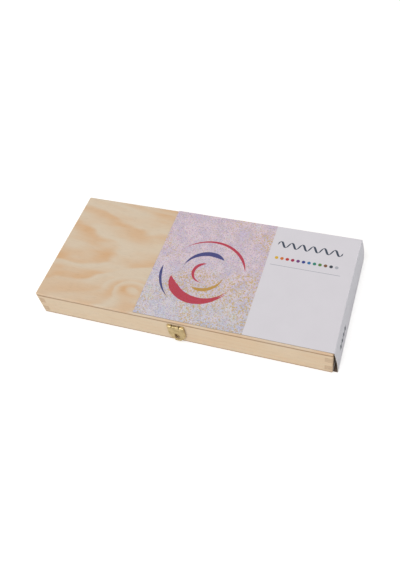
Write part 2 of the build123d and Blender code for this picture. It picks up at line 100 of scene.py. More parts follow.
class Signal:
    """What a node puts out: a number, vector or colour, which can stand in a plain sum.

    The sums that have no sign of their own are methods, such as at_least for the larger of two.
    """

    def __init__(self, wiring: "Wiring", socket: NodeSocket) -> None:
        """Stand for that output of a node."""
        self.wiring = wiring
        self.socket = socket

    __add__ = __radd__ = operation("ADD")
    __sub__ = operation("SUBTRACT")
    __rsub__ = operation("SUBTRACT", flip=True)
    __mul__ = operation("MULTIPLY")
    __truediv__ = operation("DIVIDE")
    __rtruediv__ = operation("DIVIDE", flip=True)
    __mod__ = operation("FLOORED_MODULO")
    __pow__ = operation("POWER")
    __abs__ = operation("ABSOLUTE")
    __lt__ = operation("LESS_THAN")
    at_least = operation("MAXIMUM")
    at_most = operation("MINIMUM")
    fraction = operation("FRACT")
    whole = operation("FLOOR")
    sign = operation("SIGN")
    root = operation("SQRT")
    exponential = operation("EXPONENT")
    sine = operation("SINE")
    cosine = operation("COSINE")
    angle = operation("ARCTAN2")

    def length(self) -> "Signal":
        """The length of this vector."""
        return self.wiring.out("ShaderNodeVectorMath", {0: self}, at="Value", operation="LENGTH")

    def split(self) -> list["Signal"]:
        """The three parts of this vector."""
        made = self.wiring.node("ShaderNodeSeparateXYZ", {0: self})
        return [Signal(self.wiring, socket) for socket in made.outputs]

    def swapped(self) -> "Signal":
        """This vector with X and Y exchanged."""
        x, y, z = self.split()
        return self.wiring.join(y, x, z)

    def ease(self, low: "Value", high: "Value") -> "Signal":
        """0 where this number is below low and 1 where it is above high, with a soft step between."""
        inputs = {"Value": self, "From Min": low, "From Max": high}
        return self.wiring.out("ShaderNodeMapRange", inputs, interpolation_type="SMOOTHSTEP")

    def band(self, low: float, high: float, soft: float) -> "Signal":
        """1 where this number is between low and high and 0 outside, with soft steps of that width."""
        half = soft / 2
        return self.ease(low - half, low + half) - self.ease(high - half, high + half)

    def spread(self, low: "Value", high: "Value") -> "Signal":
        """This number, which runs from 0 to 1, spread from low to high."""
        return self.wiring.out("ShaderNodeMapRange", {"Value": self, "To Min": low, "To Max": high})

    def noise(self, per_metre: tuple | float, detail: float = 2.0, at: int = 0) -> "Signal":
        """Noise read at this place.

        Args:
            per_metre: How many features it has to the metre, or how many along each axis.
            detail: How many finer layers it has.
            at: 0 for a number and 1 for a colour.

        Returns:
            The noise, from 0 to 1.
        """
        inputs = {"Vector": self, "Scale": per_metre, "Detail": detail}
        if isinstance(per_metre, tuple):
            inputs |= {"Vector": self * per_metre, "Scale": 1.0}
        return self.wiring.out("ShaderNodeTexNoise", inputs, at=at)

    def mix(self, first: "Value", second: "Value") -> "Signal":
        """The first colour where this number is 0, the second where it is 1."""
        return self.wiring.blend(self, first, second, "MIX")

    def shade(self, colour: "Value") -> "Signal":
        """A colour made lighter or darker by this number."""
        return self.wiring.blend(1.0, colour, self, "MULTIPLY")

    def ramp(self, stops: list[tuple[float, str]], shape: str = "EASE") -> "Signal":
        """A colour read off a ramp.

        Args:
            stops: Place, from 0 to 1, and colour code of each stop.
            shape: How the colour runs from stop to stop.

        Returns:
            The colour.
        """
        made = self.wiring.node("ShaderNodeValToRGB", {0: self})
        made.color_ramp.interpolation = shape
        elements = made.color_ramp.elements
        while len(elements) < len(stops):
            elements.new(1.0)
        for element, (place, code) in zip(elements, stops):
            element.position = place
            element.color = srgb(code)
        return Signal(self.wiring, made.outputs[0])

    def pick(self, codes: tuple[str, ...]) -> "Signal":
        """One of several colours, each for an equal share of the way from 0 to 1."""
        return self.ramp([(number / len(codes), code) for number, code in enumerate(codes)], "CONSTANT")


Value = float | tuple | str | Signal


class Wiring:
    """Adds nodes to a shader or geometry tree and joins them up."""

    def __init__(self, tree: NodeTree) -> None:
        """Work on that tree."""
        self.tree = tree

    def node(self, kind: str, inputs: dict | None = None, **settings: object) -> Node:
        """Add a node.

        Args:
            kind: The node's type name.
            inputs: Socket name or number, to a value, a colour code or the signal that feeds it.
            settings: The node's own properties.

        Returns:
            The new node.
        """
        made = self.tree.nodes.new(kind)
        for name, value in settings.items():
            setattr(made, name, value)
        for key, value in (inputs or {}).items():
            self.feed(made.inputs[key], value)
        return made

    def out(self, kind: str, inputs: dict | None = None, at: int | str = 0, **settings: object) -> Signal:
        """Add a node and return the output with that number or name."""
        return Signal(self, self.node(kind, inputs, **settings).outputs[at])

    def feed(self, socket: NodeSocket, value: Value) -> None:
        """Link a socket to the signal that feeds it, or set its value or its colour by code."""
        if isinstance(value, Signal):
            self.tree.links.new(value.socket, socket)
        else:
            socket.default_value = srgb(value) if isinstance(value, str) else value

    def join(self, x: Value, y: Value, z: Value) -> Signal:
        """A vector from its three parts."""
        return self.out("ShaderNodeCombineXYZ", {0: x, 1: y, 2: z})

    def blend(self, factor: Value, first: Value, second: Value, way: str) -> Signal:
        """Two colours blended in a way such as MIX or MULTIPLY."""
        inputs = {0: factor, 6: first, 7: second}
        return self.out("ShaderNodeMix", inputs, at=2, data_type="RGBA", blend_type=way)

    def use(self, effect: NodeTree, **inputs: Value) -> list[Signal]:
        """Place a shared effect with its own values, and return what it puts out, in order."""
        made = self.node("ShaderNodeGroup", spaced(inputs), node_tree=effect)
        return [Signal(self, socket) for socket in made.outputs]


class Group(Wiring):
    """A node group with named inputs, such as a shader effect that several finishes share."""

    kind = "ShaderNodeTree"

    def __init__(self, name: str, **inputs: str) -> None:
        """Make the group's inputs.

        Args:
            name: The group's name.
            inputs: Type of socket to the names of the inputs of that type, with commas between.
        """
        super().__init__(bpy.data.node_groups.new(name, self.kind))
        for kind, labels in inputs.items():
            for label in labels.split(", "):
                self.socket(label, "INPUT", kind)
        made = self.node("NodeGroupInput").outputs
        self.given = {socket.name: Signal(self, socket) for socket in made if socket.name}

    def socket(self, label: str, side: str, kind: str) -> None:
        """Add a socket to the group itself."""
        self.tree.interface.new_socket(name=label, in_out=side, socket_type=f"NodeSocket{kind}")

    def finish(self, **results: Signal) -> NodeTree:
        """Give the group its outputs and return its tree."""
        kinds = {"RGBA": "Color", "VALUE": "Float", "GEOMETRY": "Geometry"}
        for label, result in results.items():
            self.socket(label, "OUTPUT", kinds[result.socket.type])
        self.node("NodeGroupOutput", results)
        return self.tree


@cache
def wood_figure() -> NodeTree:
    """Annual rings round a heart line, with the fibres along X, worked out in the solid."""
    effect = Group(
        "wood_figure",
        Vector="Position, Normal, Heart",
        Float="Taper, Swell, Ring Width, Wander, Tone",
        Color="Early, Late",
    )
    place, normal, heart, taper, swell, ring_width, wander, tone, early, late = effect.given.values()
    drift = (place.noise((10.0, 24.0, 24.0), 3.0, at=1) - (0.5, 0.5, 0.5)) * wander
    along, across, up = (place + drift - heart).split()
    rings = (effect.join(0.0, across, up).length() + swell + along * taper) / ring_width
    part = rings.fraction()
    darkest = 0.74
    chance = effect.out("ShaderNodeTexWhiteNoise", {"W": rings.whole()}, noise_dimensions="1D")
    faded = place.noise((13.0, 34.0, 34.0)).ease(0.36, 0.62).spread(0.15, 1.0)
    summer = part.ease(0.0, darkest) * part.ease(1.0, darkest) * (chance.spread(0.25, 1.0) * faded)
    warm = place.noise((9.0, 26.0, 26.0), 3.0).ease(0.46, 0.7)
    fibre = place.noise((70.0, 2400.0, 2400.0))
    canal = place.noise((110.0, 3200.0, 3200.0), 0.0).ease(0.64, 0.74)
    end = abs(normal.split()[0]).ease(0.5, 0.9)
    _, side, top = place.split()
    sawn = effect.join(side + top, side - top, 0.0)
    torn = sawn.noise((160.0, 900.0, 1.0), 3.0).ease(0.5, 0.72).spread(0.05, 0.3)
    light = fibre * 0.14 + 0.93 + canal * -0.1 - end * torn
    toned = ((warm * 0.45 + summer) * tone).mix(early, late)
    toned = (end * 0.35).mix(toned, late)
    return effect.finish(
        Color=light.shade(toned),
        Height=summer * -0.3 + fibre,
        Roughness=fibre * 0.14 + 0.5,
    )


@cache
def rim() -> NodeTree:
    """Where the surface of a box comes near its own edges, and where it belongs to an upright side."""
    effect = Group("rim", Vector="Position, Centre, Half Size", Float="Width")
    place, centre, half_size, width = effect.given.values()
    x, y, z = (half_size - abs(place - centre)).split()
    least = x.at_most(y)
    middle = least.at_least(x.at_least(y).at_most(z))
    reach = width * place.noise(160.0, 3.0).spread(0.4, 1.6)
    return effect.finish(
        Mask=1.0 - (middle / reach).ease(0.0, 1.0),
        Side=least.ease(2.4 * MM, 1.6 * MM),
    )


@cache
def flecks() -> NodeTree:
    """Round flecks scattered one to a cell, each with a number of its own."""
    effect = Group("flecks", Vector="Position", Float="Cell, Size")
    place, cell, size = effect.given.values()
    cells = effect.node("ShaderNodeTexVoronoi", {"Vector": place, "Scale": 1.0 / cell}).outputs
    distance, colour = (Signal(effect, cells[name]) for name in ("Distance", "Color"))
    return effect.finish(Mask=(size - distance).ease(0.0, 0.12), Pick=colour.split()[0])


@cache
def handling() -> NodeTree:
    """Smudges and hairline scratches from handling."""
    effect = Group("handling", Vector="Position")
    place = effect.given["Position"]
    lines = place.noise((160.0, 2600.0, 2600.0), 1.0).ease(0.62, 0.72)
    crossing = place.noise((2600.0, 2600.0, 150.0), 1.0).ease(0.62, 0.72)
    smudge = place.noise(130.0, 3.0).ease(0.35, 0.7)
    return effect.finish(Smudge=smudge, Scratch=lines.at_least(crossing))


@cache
def brush_arc() -> NodeTree:
    """A brushed arc in the XY plane, that swells after its start and runs dry towards its end."""
    effect = Group("brush_arc", Vector="Position, Centre", Float="Radius, Start, Sweep, Width")
    place, centre, radius, start, sweep, width = effect.given.values()
    x, y, _ = (place - centre).split()
    turned = (y.angle(x) - start) * sweep.sign()
    done = turned % math.tau / abs(sweep)
    aside = (effect.join(x, y, 0.0).length() - radius) / width
    bristle = effect.join(done * 3.0, aside * 14.0, 0.0).noise(1.0)
    swell = done.ease(0.0, 0.2) ** 0.45 * done.ease(1.0, 0.3)
    ragged = bristle * 0.1 + swell.spread(-0.04, 0.42)
    inside = (ragged - abs(aside)).ease(0.0, 0.05)
    dry = done.ease(0.3, 1.0) * 0.66
    wet = (bristle - dry).ease(-0.12, -0.02)
    return effect.finish(Mask=inside * wet * (done < 1.0), Load=bristle)


# ---- Finishes ----
class Surface(Wiring):
    """A new material with its Principled shader, wired from object coordinates."""

    def __init__(self, name: str) -> None:
        """Make the material."""
        self.material = bpy.data.materials.new(name)
        self.material.use_nodes = True
        self.material.node_tree.nodes.clear()
        super().__init__(self.material.node_tree)
        self.shader = self.node("ShaderNodeBsdfPrincipled")
        self.node("ShaderNodeOutputMaterial", {"Surface": Signal(self, self.shader.outputs[0])})
        places = self.node("ShaderNodeTexCoord").outputs
        self.position, self.normal = (Signal(self, places[name]) for name in ("Object", "Normal"))

    def paint(self, **values: Value) -> Material:
        """Set or link the shader's sockets and return the material."""
        for label, value in spaced(values).items():
            self.feed(self.shader.inputs[label], value)
        return self.material

    def emboss(self, height: Signal, depth: float, strength: float) -> None:
        """Raise the surface by height times depth, in metres."""
        inputs = {"Height": height, "Distance": depth, "Strength": strength}
        self.paint(Normal=self.out("ShaderNodeBump", inputs))

    def marks(self) -> list[Signal]:
        """The smudges and the scratches from handling."""
        return self.use(handling(), Position=self.position)


class Grain(Enum):
    """Which way a board's fibres run."""

    ALONG = "x"
    ACROSS = "y"


@dataclass(frozen=True)
class Swell:
    """A place where the rings bulge towards the surface, in millimetres."""

    x: float
    y: float
    length: float
    width: float
    rise: float

    def hill(self, x: Signal, y: Signal) -> Signal:
        """How far it pushes the rings up."""
        along = (x - self.x * MM) / (self.length * MM)
        across = (y - self.y * MM) / (self.width * MM)
        return ((along**2.0 + across**2.0) * -1.0).exponential() * (self.rise * MM)


@dataclass(frozen=True)
class Pine:
    """Bare sanded pine. The heart line is placed in millimetres, from the middle of the underside."""

    name: str
    heart_across: float
    heart_up: float
    grain: Grain = Grain.ALONG
    taper: float = 0.0
    ring_mm: float = 2.6
    wander_mm: float = 5.0
    tone: float = 0.55
    early: str = "dccab2"
    late: str = "daae7f"
    # dust_and_shade: a brown for dirt and painted shade in the groove under the top panel, and for painted
    # shade with a little dirt along the foot of each upright side.
    dust_and_shade: str = "875b35"
    groove_half_mm: float = 1.1
    groove_soft_mm: float = 0.6
    groove_dust_and_shade: float = 0.6
    foot_shade_mm: tuple[float, float] = (3.6, 1.2)
    foot_dirt_and_shade: float = 0.8
    edge_mm: float = 2.4
    edge_rubbed: float = 0.12
    swells: tuple[Swell, ...] = ()

    def material(self) -> Material:
        """Build the material."""
        surface = Surface(self.name)
        place, normal = surface.position, surface.normal
        x, y, z = place.split()
        if self.grain is Grain.ACROSS:
            place, normal = place.swapped(), normal.swapped()
        colour, height, roughness = surface.use(
            wood_figure(),
            Position=place,
            Normal=normal,
            Heart=(0.0, self.heart_across * MM, self.heart_up * MM),
            Taper=self.taper,
            Swell=sum(swell.hill(x, y) for swell in self.swells),
            Ring_Width=self.ring_mm * MM,
            Wander=self.wander_mm * MM,
            Early=self.early,
            Late=self.late,
            Tone=self.tone,
        )
        low, high = case_box()
        edge, side = surface.use(
            rim(),
            Position=surface.position,
            Centre=tuple((low + high) / 2),
            Half_Size=tuple((high - low) / 2),
            Width=self.edge_mm * MM,
        )
        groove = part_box("lid_top_panel")[0].z
        half = self.groove_half_mm * MM
        # Painted shade with some dirt: in the groove under the top panel, and along the foot of each upright
        # side, growing darker towards the bottom.
        unshaded_height, shaded_height = (low.z + up * MM for up in self.foot_shade_mm)
        cut = z.band(groove - half, groove + half, self.groove_soft_mm * MM) * side
        foot = z.ease(unshaded_height, shaded_height) * side
        dust_and_shade_mask = (cut * self.groove_dust_and_shade).at_least(foot * self.foot_dirt_and_shade)
        toned = (edge * self.edge_rubbed).mix(colour, self.late)
        surface.emboss(height, depth=0.06 * MM, strength=0.6)
        return surface.paint(
            Base_Color=dust_and_shade_mask.mix(toned, self.dust_and_shade),
            Roughness=roughness,
            Specular_IOR_Level=0.3,
        )


@dataclass(frozen=True)
class BarrelShade:
    """Painted shade round a hinge barrel, in millimetres.

    It sits in the gaps beside the middle knuckle, of that half width, between low and high, and
    thinner on the strip of leaf above the barrel, as the shadow line along its top.
    """

    half: float
    low: float
    high: float
    strip: float
    reach: float = 0.9
    core: float = 0.27
    soft: float = 0.3
    strip_soft: float = 0.5
    strip_strength: float = 0.55
    # Colour of the painted shade.
    colour: str = "5e4a26"

    def mask(self, surface: Surface) -> Signal:
        """Where the painted shade is, and how thick."""
        x, _, z = surface.position.split()
        near = abs(abs(x) - self.half * MM).ease(self.reach * MM, self.core * MM)
        barrel = z.band(self.low * MM, self.high * MM, self.soft * MM)
        above = z.ease(self.strip * MM, (self.strip + self.strip_soft) * MM)
        return (near * barrel).at_least(above * self.strip_strength)


@dataclass(frozen=True)
class SlotShadeAndGrime:
    """Painted shade, with some soiling, in and round an upright slot with round ends, in millimetres."""

    middle: float
    half_width: float
    half_height: float
    reach: float = 1.3
    strength: float = 0.6
    # Colour of the painted shade and soiling.
    colour: str = "7e5718"

    def mask(self, surface: Surface) -> Signal:
        """Where the painted shade and soiling are, and how thick."""
        x, _, z = surface.position.split()
        straight = (self.half_height - self.half_width) * MM
        beyond = (abs(z - self.middle * MM) - straight).at_least(0.0)
        away = surface.join(x, 0.0, beyond).length()
        return away.ease((self.half_width + self.reach) * MM, self.half_width * MM) * self.strength


@dataclass(frozen=True)
class Metal:
    """Rolled or stamped metal, duller and browner where it has tarnished."""

    name: str
    colour: str
    tarnish: str
    tarnished: float = 0.4
    roughness: float = 0.3
    shades_and_grime: tuple[BarrelShade | SlotShadeAndGrime, ...] = ()

    def material(self) -> Material:
        """Build the material."""
        surface = Surface(self.name)
        place = surface.position
        smudge, scratch = surface.marks()
        dull = place.noise(260.0, 4.0).ease(0.38, 0.68) * self.tarnished
        colour = dull.mix(self.colour, self.tarnish)
        # Painted shade from each mark: in knuckle gaps, above a barrel and round a slot, the last with some
        # soiling.
        for shade_and_grime in self.shades_and_grime:
            colour = shade_and_grime.mask(surface).mix(colour, shade_and_grime.colour)
        surface.emboss(scratch * -0.4 + place.noise(900.0, 3.0), depth=0.02 * MM, strength=0.5)
        rough = smudge * 0.14 + self.roughness + dull * 0.2
        return surface.paint(Base_Color=colour, Metallic=1.0, Roughness=rough)


@dataclass(frozen=True)
class Lacquer:
    """Lacquered or moulded colour, glossy and a little handled."""

    name: str
    colour: str
    roughness: float = 0.25
    coat: float = 0.0

    def material(self) -> Material:
        """Build the material."""
        surface = Surface(self.name)
        smudge, scratch = surface.marks()
        light = surface.position.noise(70.0, 3.0).spread(0.88, 1.1)
        surface.emboss(scratch * -1.0, depth=0.02 * MM, strength=0.4)
        return surface.paint(
            Base_Color=light.shade(self.colour),
            Roughness=smudge * 0.12 + self.roughness,
            Coat_Weight=self.coat,
        )


@dataclass(frozen=True)
class Hair:
    """Soft brush hair, darker at the root and lighter at the tip."""

    name: str
    root: str
    tip: str

    def material(self) -> Material:
        """Build the material."""
        surface = Surface(self.name)
        low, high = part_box("brush_hair")
        along = surface.position.split()[0].ease(low.x, high.x)
        light = surface.position.noise((60.0, 5000.0, 5000.0), 1.0).spread(0.6, 1.4)
        colour = along.mix(self.root, self.tip)
        return surface.paint(Base_Color=light.shade(colour), Roughness=0.45)


@dataclass(frozen=True)
class BrushStroke:
    """A brushed arc on the card: radius and width in millimetres, start and sweep in degrees."""

    colour: str
    radius: float
    start: float
    sweep: float
    width: float


@dataclass(frozen=True)
class PenWave:
    """A line of waves as a slanted broad nib draws it, thin upwards and thick downwards, in millimetres."""

    first: float
    last: float
    middle: float
    height: float
    pitch: float
    nib: float = 2.6
    nib_degrees: float = 22.0
    hairline: float = 0.7
    soft: float = 0.25

    def mask(self, across: Signal, above: Signal) -> Signal:
        """Where the ink is: where the nib, laid across a point, has one end on each side of the wave."""
        slant = math.radians(self.nib_degrees)
        heights = []
        for reach in (-self.nib / 2, 0.0, self.nib / 2):
            along = across * (1 / MM) + (reach * math.cos(slant) - self.first)
            up = above * (1 / MM) + (reach * math.sin(slant) - self.middle)
            heights.append((along * (math.tau / self.pitch)).sine() * -self.height + up)
        one_end, centre, other_end = heights
        crossed = (one_end * other_end).ease(0.0, -0.5)
        hairline = abs(centre).ease(self.hairline, self.hairline - self.soft)
        return crossed.at_least(hairline) * across.band(self.first * MM, self.last * MM, 0.3 * MM)


@dataclass(frozen=True)
class PrintedCard:
    """Card with brushed arcs on a speckled wash, and a plain field with a pen wave, samples and a rule."""

    name: str
    wash_end_mm: float = 78.8
    wash_soft_mm: float = 0.15
    paper: str = "dcd8dd"
    # board_with_gap_shade: the inner card's kraft brown, darkened into painted shade for the gap at the
    # case's end.
    board_with_gap_shade: str = "74645a"
    board_fleck: str = "54493f"
    core: str = "cdc6bc"
    # front_edge_shadow: painted shadow line on the cut edges of the top panel.
    front_edge_shadow: str = "8d8276"
    # brightened_end_paper: painted light, a lighter and bluer copy of the paper that lifts the shade on the
    # end panel.
    brightened_end_paper: str = "e6e5ec"
    cracked: str = "efedf0"
    rule: str = "a3a4ac"
    slate: str = "3d4858"
    cloud_stops: tuple[float, ...] = (0.32, 0.46, 0.56, 0.68)
    rosy: tuple[str, ...] = ("cdbfd2", "d0c0cc", "dcc8d2", "d6cbd4")
    bluish: tuple[str, ...] = ("c3c2d4", "cbc8d2", "d5cdd6", "cfcfce")
    grains: tuple[str, ...] = ("847ab0", "c680a8", "8c98c0", "c0a656", "9fb094", "ece6ec", "a98cc4")
    gold: str = "c8a64e"
    dark_grain: str = "4f5378"
    strokes: tuple[BrushStroke, ...] = (
        BrushStroke("b8233f", radius=40.0, start=196.0, sweep=158.0, width=13.0),
        BrushStroke("b8233f", radius=48.0, start=14.0, sweep=150.0, width=4.0),
        BrushStroke("2b3478", radius=29.0, start=52.0, sweep=140.0, width=7.0),
        BrushStroke("2b3478", radius=53.0, start=178.0, sweep=66.0, width=3.6),
        BrushStroke("bd8f36", radius=24.0, start=248.0, sweep=128.0, width=5.0),
        BrushStroke("b8233f", radius=14.0, start=96.0, sweep=214.0, width=4.4),
    )
    strokes_centre: Triple = (12 * MM, -8 * MM, 0.0)
    top_wave: PenWave = PenWave(86.0, 164.0, 54.0, height=4.2, pitch=13.0)
    end_wave: PenWave = PenWave(-62.0, -30.0, 20.5, height=3.6, pitch=8.0, nib=3.4)
    samples: tuple[str, ...] = (
        "d9ae35", "cf7230", "bd3a34", "a32b4d", "733f7c", "34428a",
        "3470a5", "328472", "5b8443", "80563a", "3a414b", "aeb0b7",
    )
    sample_pitch_mm: float = 6.5
    sample_radius_mm: float = 2.2
    sample_x_mm: float = 86.0
    sample_y_mm: float = 33.0
    rule_y_mm: float = 22.0
    rule_half_mm: float = 0.3
    rule_span_mm: tuple[float, float] = (84.0, 167.0)
    print_soft_mm: float = 0.2

    def material(self) -> Material:
        """Build the material."""
        surface = Surface(self.name)
        place = surface.position
        x, y, z = place.split()
        flat = surface.join(x, y, 0.0)
        right, back, upward = surface.normal.split()
        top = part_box("lid_top_panel")[1].z
        on_top = z.ease(top - 2 * MM, top - 1 * MM)
        outward = upward * z.ease(1.2 * MM, 2.0 * MM).spread(-1.0, 1.0)
        printed = outward.at_least(right).ease(0.2, 0.5)
        plain, washed = ((self.wash_end_mm + side * self.wash_soft_mm) * MM for side in (1, -1))
        face = (x.ease(plain, washed) * on_top).mix(self.plain(surface, flat), self.arcs(surface, flat))
        # Painted light: the end panel uses a lighter, bluer paper to lift the shade on that side.
        paper = place.noise(40.0, 3.0).spread(0.96, 1.04).shade(self.brightened_end_paper)
        end = self.end_wave.mask(y, z).mix(paper, self.slate)
        face = right.ease(0.35, 0.8).mix(face, end)
        face = (self.crease(surface) * 0.3).mix(face, self.cracked)
        fibre = place.noise(1400.0, 3.0)
        specks, _ = surface.use(flecks(), Position=place, Cell=1.7 * MM, Size=0.24)
        # The inner card's kraft brown is darkened into painted shade, for the gap at the case's end.
        board_with_gap_shade = (specks * 0.6).mix(self.board_with_gap_shade, self.board_fleck)
        # Cut edges show the light core, but along the top panel they carry a painted shadow line.
        edge = on_top.mix(self.core, self.front_edge_shadow)
        cut = abs(back).ease(0.5, 0.8).at_least(right.ease(-0.5, -0.8) * on_top)
        bare = fibre.spread(0.8, 1.15).shade(cut.mix(board_with_gap_shade, edge))
        surface.emboss(fibre, depth=0.03 * MM, strength=0.35)
        return surface.paint(
            Base_Color=printed.mix(bare, face),
            Roughness=fibre * 0.16 + printed.spread(0.8, 0.42),
            Specular_IOR_Level=0.4,
        )

    def wash(self, surface: Surface, flat: Signal) -> Signal:
        """The mottled ground, rosier at the back and bluer at the front, under its flecks."""
        x, y, _ = flat.split()
        cloud = flat.noise(60.0, 6.0)
        rosy, bluish = (cloud.ramp(list(zip(self.cloud_stops, codes))) for codes in (self.rosy, self.bluish))
        drift = flat.noise(14.0, 3.0)
        ground = (drift * (120 * MM) + y).ease(0.0, 80 * MM).mix(bluish, rosy)
        fine, number = surface.use(flecks(), Position=flat, Cell=1.35 * MM, Size=0.44)
        ground = (fine * 0.7).mix(ground, number.pick(self.grains))
        rich = (drift + (y * -0.7 + x * 0.9)).ease(0.46, 0.62)
        coarse, _ = surface.use(flecks(), Position=flat, Cell=2.8 * MM, Size=0.42)
        ground = (coarse * rich.spread(0.1, 0.72)).mix(ground, self.gold)
        smear = flat.noise(330.0, 4.0).ease(0.5, 0.62)
        ground = (smear * rich * 0.4).mix(ground, self.gold)
        dark, _ = surface.use(flecks(), Position=flat, Cell=2.9 * MM, Size=0.17)
        return (dark * 0.7).mix(ground, self.dark_grain)

    def arcs(self, surface: Surface, flat: Signal) -> Signal:
        """The brushed arcs on the wash."""
        ground = self.wash(surface, flat)
        for stroke in self.strokes:
            mask, load = surface.use(
                brush_arc(),
                Position=flat,
                Centre=self.strokes_centre,
                Radius=stroke.radius * MM,
                Start=math.radians(stroke.start),
                Sweep=math.radians(stroke.sweep),
                Width=stroke.width * MM,
            )
            paint = load.spread(0.75, 1.25).shade(stroke.colour)
            ground = (mask * 0.93).mix(ground, paint)
        return ground

    def plain(self, surface: Surface, flat: Signal) -> Signal:
        """The plain field with its pen wave, paint samples and thin rule."""
        x, y, _ = flat.split()
        paper = flat.noise(40.0, 3.0).spread(0.97, 1.03).shade(self.paper)
        paper = self.top_wave.mask(x, y).mix(paper, self.slate)
        pitch = self.sample_pitch_mm * MM
        column = (x - self.sample_x_mm * MM) / pitch
        up = (y - self.sample_y_mm * MM) / pitch
        away = flat.noise(500.0) * 0.08 + surface.join(column.fraction() - 0.5, up, 0.0).length()
        radius = self.sample_radius_mm / self.sample_pitch_mm
        disc = away.ease(radius + 0.06, radius) * column.band(0.0, len(self.samples), 0.01)
        paper = disc.mix(paper, (column / len(self.samples)).pick(self.samples))
        soft = self.print_soft_mm * MM
        start, end = (along * MM for along in self.rule_span_mm)
        low, high = ((self.rule_y_mm + side * self.rule_half_mm) * MM for side in (-1, 1))
        return (x.band(start, end, soft) * y.band(low, high, soft)).mix(paper, self.rule)

    def crease(self, surface: Surface) -> Signal:
        """Where the fold over the case's end has cracked the print."""
        x, _, z = surface.position.split()
        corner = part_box("lid_top_panel")[1] + Vector((0.8, 0.0, 0.4)) * MM
        away = surface.join(x - corner.x, 0.0, z - corner.z).length()
        return away.ease(1.3 * MM, 0.3 * MM) * surface.position.noise(700.0, 3.0).ease(0.4, 0.62)


@dataclass(frozen=True)
class PaintTube:
    """Enamelled tube: white with a band and a line in the paint's colour, bare metal at both ends."""

    name: str
    white: str = "eceae4"
    metal: str = "c9cbce"
    shoulder_mm: float = 13.0
    crimp_mm: float = 9.0
    band_mm: tuple[float, float] = (3.0, 17.0)
    line_mm: tuple[float, float] = (14.0, 11.0)
    bare_neck_mm: float = 3.0
    pinch_mm: float = 1.2
    soft_mm: float = 0.1
    paints: tuple[str, ...] = (
        "f4f2ec", "f5d63c", "efa92a", "e2572b", "c62b33", "a8285c",
        "6b3f8e", "2f4398", "2b83bd", "2f8a5b", "8a5a34", "26282b",
    )

    def material(self) -> Material:
        """Build the material."""
        surface = Surface(self.name)
        place = surface.position
        x, y, _ = place.split()
        low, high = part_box("tube_01")
        pitch = tube_pitch()
        start = (low.x + high.x) / 2 - pitch / 2
        paint = ((x - start) / (pitch * TUBE_COUNT)).pick(self.paints)
        shoulder = low.y + self.shoulder_mm * MM
        crimp = high.y - self.crimp_mm * MM
        soft = self.soft_mm * MM
        band = y.band(*(shoulder + along * MM for along in self.band_mm), soft)
        line = y.band(*(crimp - along * MM for along in self.line_mm), soft)
        enamel = band.at_least(line).mix(self.white, paint)
        bare = 1.0 - y.band(shoulder - self.bare_neck_mm * MM, crimp, soft)
        smudge, _ = surface.marks()
        pinch = (y * (math.tau / (self.pinch_mm * MM))).sine()
        dents = place.noise((60.0, 45.0, 60.0), 1.0)
        surface.emboss(pinch * bare * 0.1 + dents, depth=0.5 * MM, strength=0.5)
        return surface.paint(
            Base_Color=bare.mix(enamel, self.metal),
            Metallic=bare,
            Roughness=smudge * 0.12 + 0.28,
        )


# ---- Meshes ----
def case_box() -> tuple[Vector, Vector]:
    """Lowest and highest corner of the wooden case."""
    corners = [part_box(node)[0] for node in CASE_BOARDS]
    low_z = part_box("base_bottom_panel")[0].z
    low = Vector((min(corner.x for corner in corners), min(corner.y for corner in corners), low_z))
    return low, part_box("lid_top_panel")[1]


def tube_pitch() -> float:
    """How far apart the paint tubes lie."""
    first, last = (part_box(node)[0].x for node in ("tube_01", f"tube_{TUBE_COUNT:02d}"))
    return (last - first) / (TUBE_COUNT - 1)


def dress(nodes: list[str], material: Material) -> None:
    """Give CAD nodes a material."""
    for node in nodes:
        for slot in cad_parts[node].material_slots:
            slot.material = material


def add_object(name: str, data: ID) -> Object:
    """Put a mesh, light or camera in the scene as an object at the origin."""
    made = bpy.data.objects.new(name, data)
    bpy.context.scene.collection.objects.link(made)
    return made


def settle(made: Object) -> None:
    """Turn an object's modifiers into its plain mesh."""
    graph = bpy.context.evaluated_depsgraph_get()
    mesh = bpy.data.meshes.new_from_object(made.evaluated_get(graph))
    made.modifiers.clear()
    made.data = mesh


def finish_piece(made: Object, material: Material, body: str, sharp_degrees: float) -> None:
    """Shade, dress and place a piece.

    Args:
        made: The piece.
        material: Its only material.
        body: The body that it rides on.
        sharp_degrees: Edges sharper than this stay crisp.
    """
    made.data.shade_smooth()
    made.data.set_sharp_from_angle(angle=math.radians(sharp_degrees))
    made.data.materials.clear()
    made.data.materials.append(material)
    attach(made, body)
    log.info("%s: %d faces", made.name, len(made.data.polygons))


def merged(mesh: Mesh) -> bmesh.types.BMesh:
    """A mesh opened for editing, with the corners that its faces share made one."""
    builder = bmesh.new()
    builder.from_mesh(mesh)
    bmesh.ops.remove_doubles(builder, verts=builder.verts, dist=0.001 * MM)
    return builder


def poured(builder: bmesh.types.BMesh, name: str) -> Mesh:
    """An edited mesh, closed under a name."""
    mesh = bpy.data.meshes.new(name)
    builder.to_mesh(mesh)
    builder.free()
    return mesh


def skin(rings: list[list[Triple]], name: str, closed: bool = True) -> Mesh:
    """A mesh through rings of points, whose first and last rings close to a point where they are one.

    Args:
        rings: Rings in order, each of as many points, or of one point at a pole.
        name: The mesh's name.
        closed: Whether each ring joins up with its own start.

    Returns:
        The mesh.
    """
    builder = bmesh.new()
    made = [[builder.verts.new(point) for point in ring] for ring in rings]
    for lower, upper in zip(made, made[1:]):
        count = max(len(lower), len(upper))
        for at in range(count if closed else count - 1):
            following = (at + 1) % count
            corners = [
                lower[at % len(lower)],
                lower[following % len(lower)],
                upper[following % len(upper)],
                upper[at % len(upper)],
            ]
            builder.faces.new(list(dict.fromkeys(corners)))
    if closed:
        bmesh.ops.recalc_face_normals(builder, faces=builder.faces)
    return poured(builder, name)


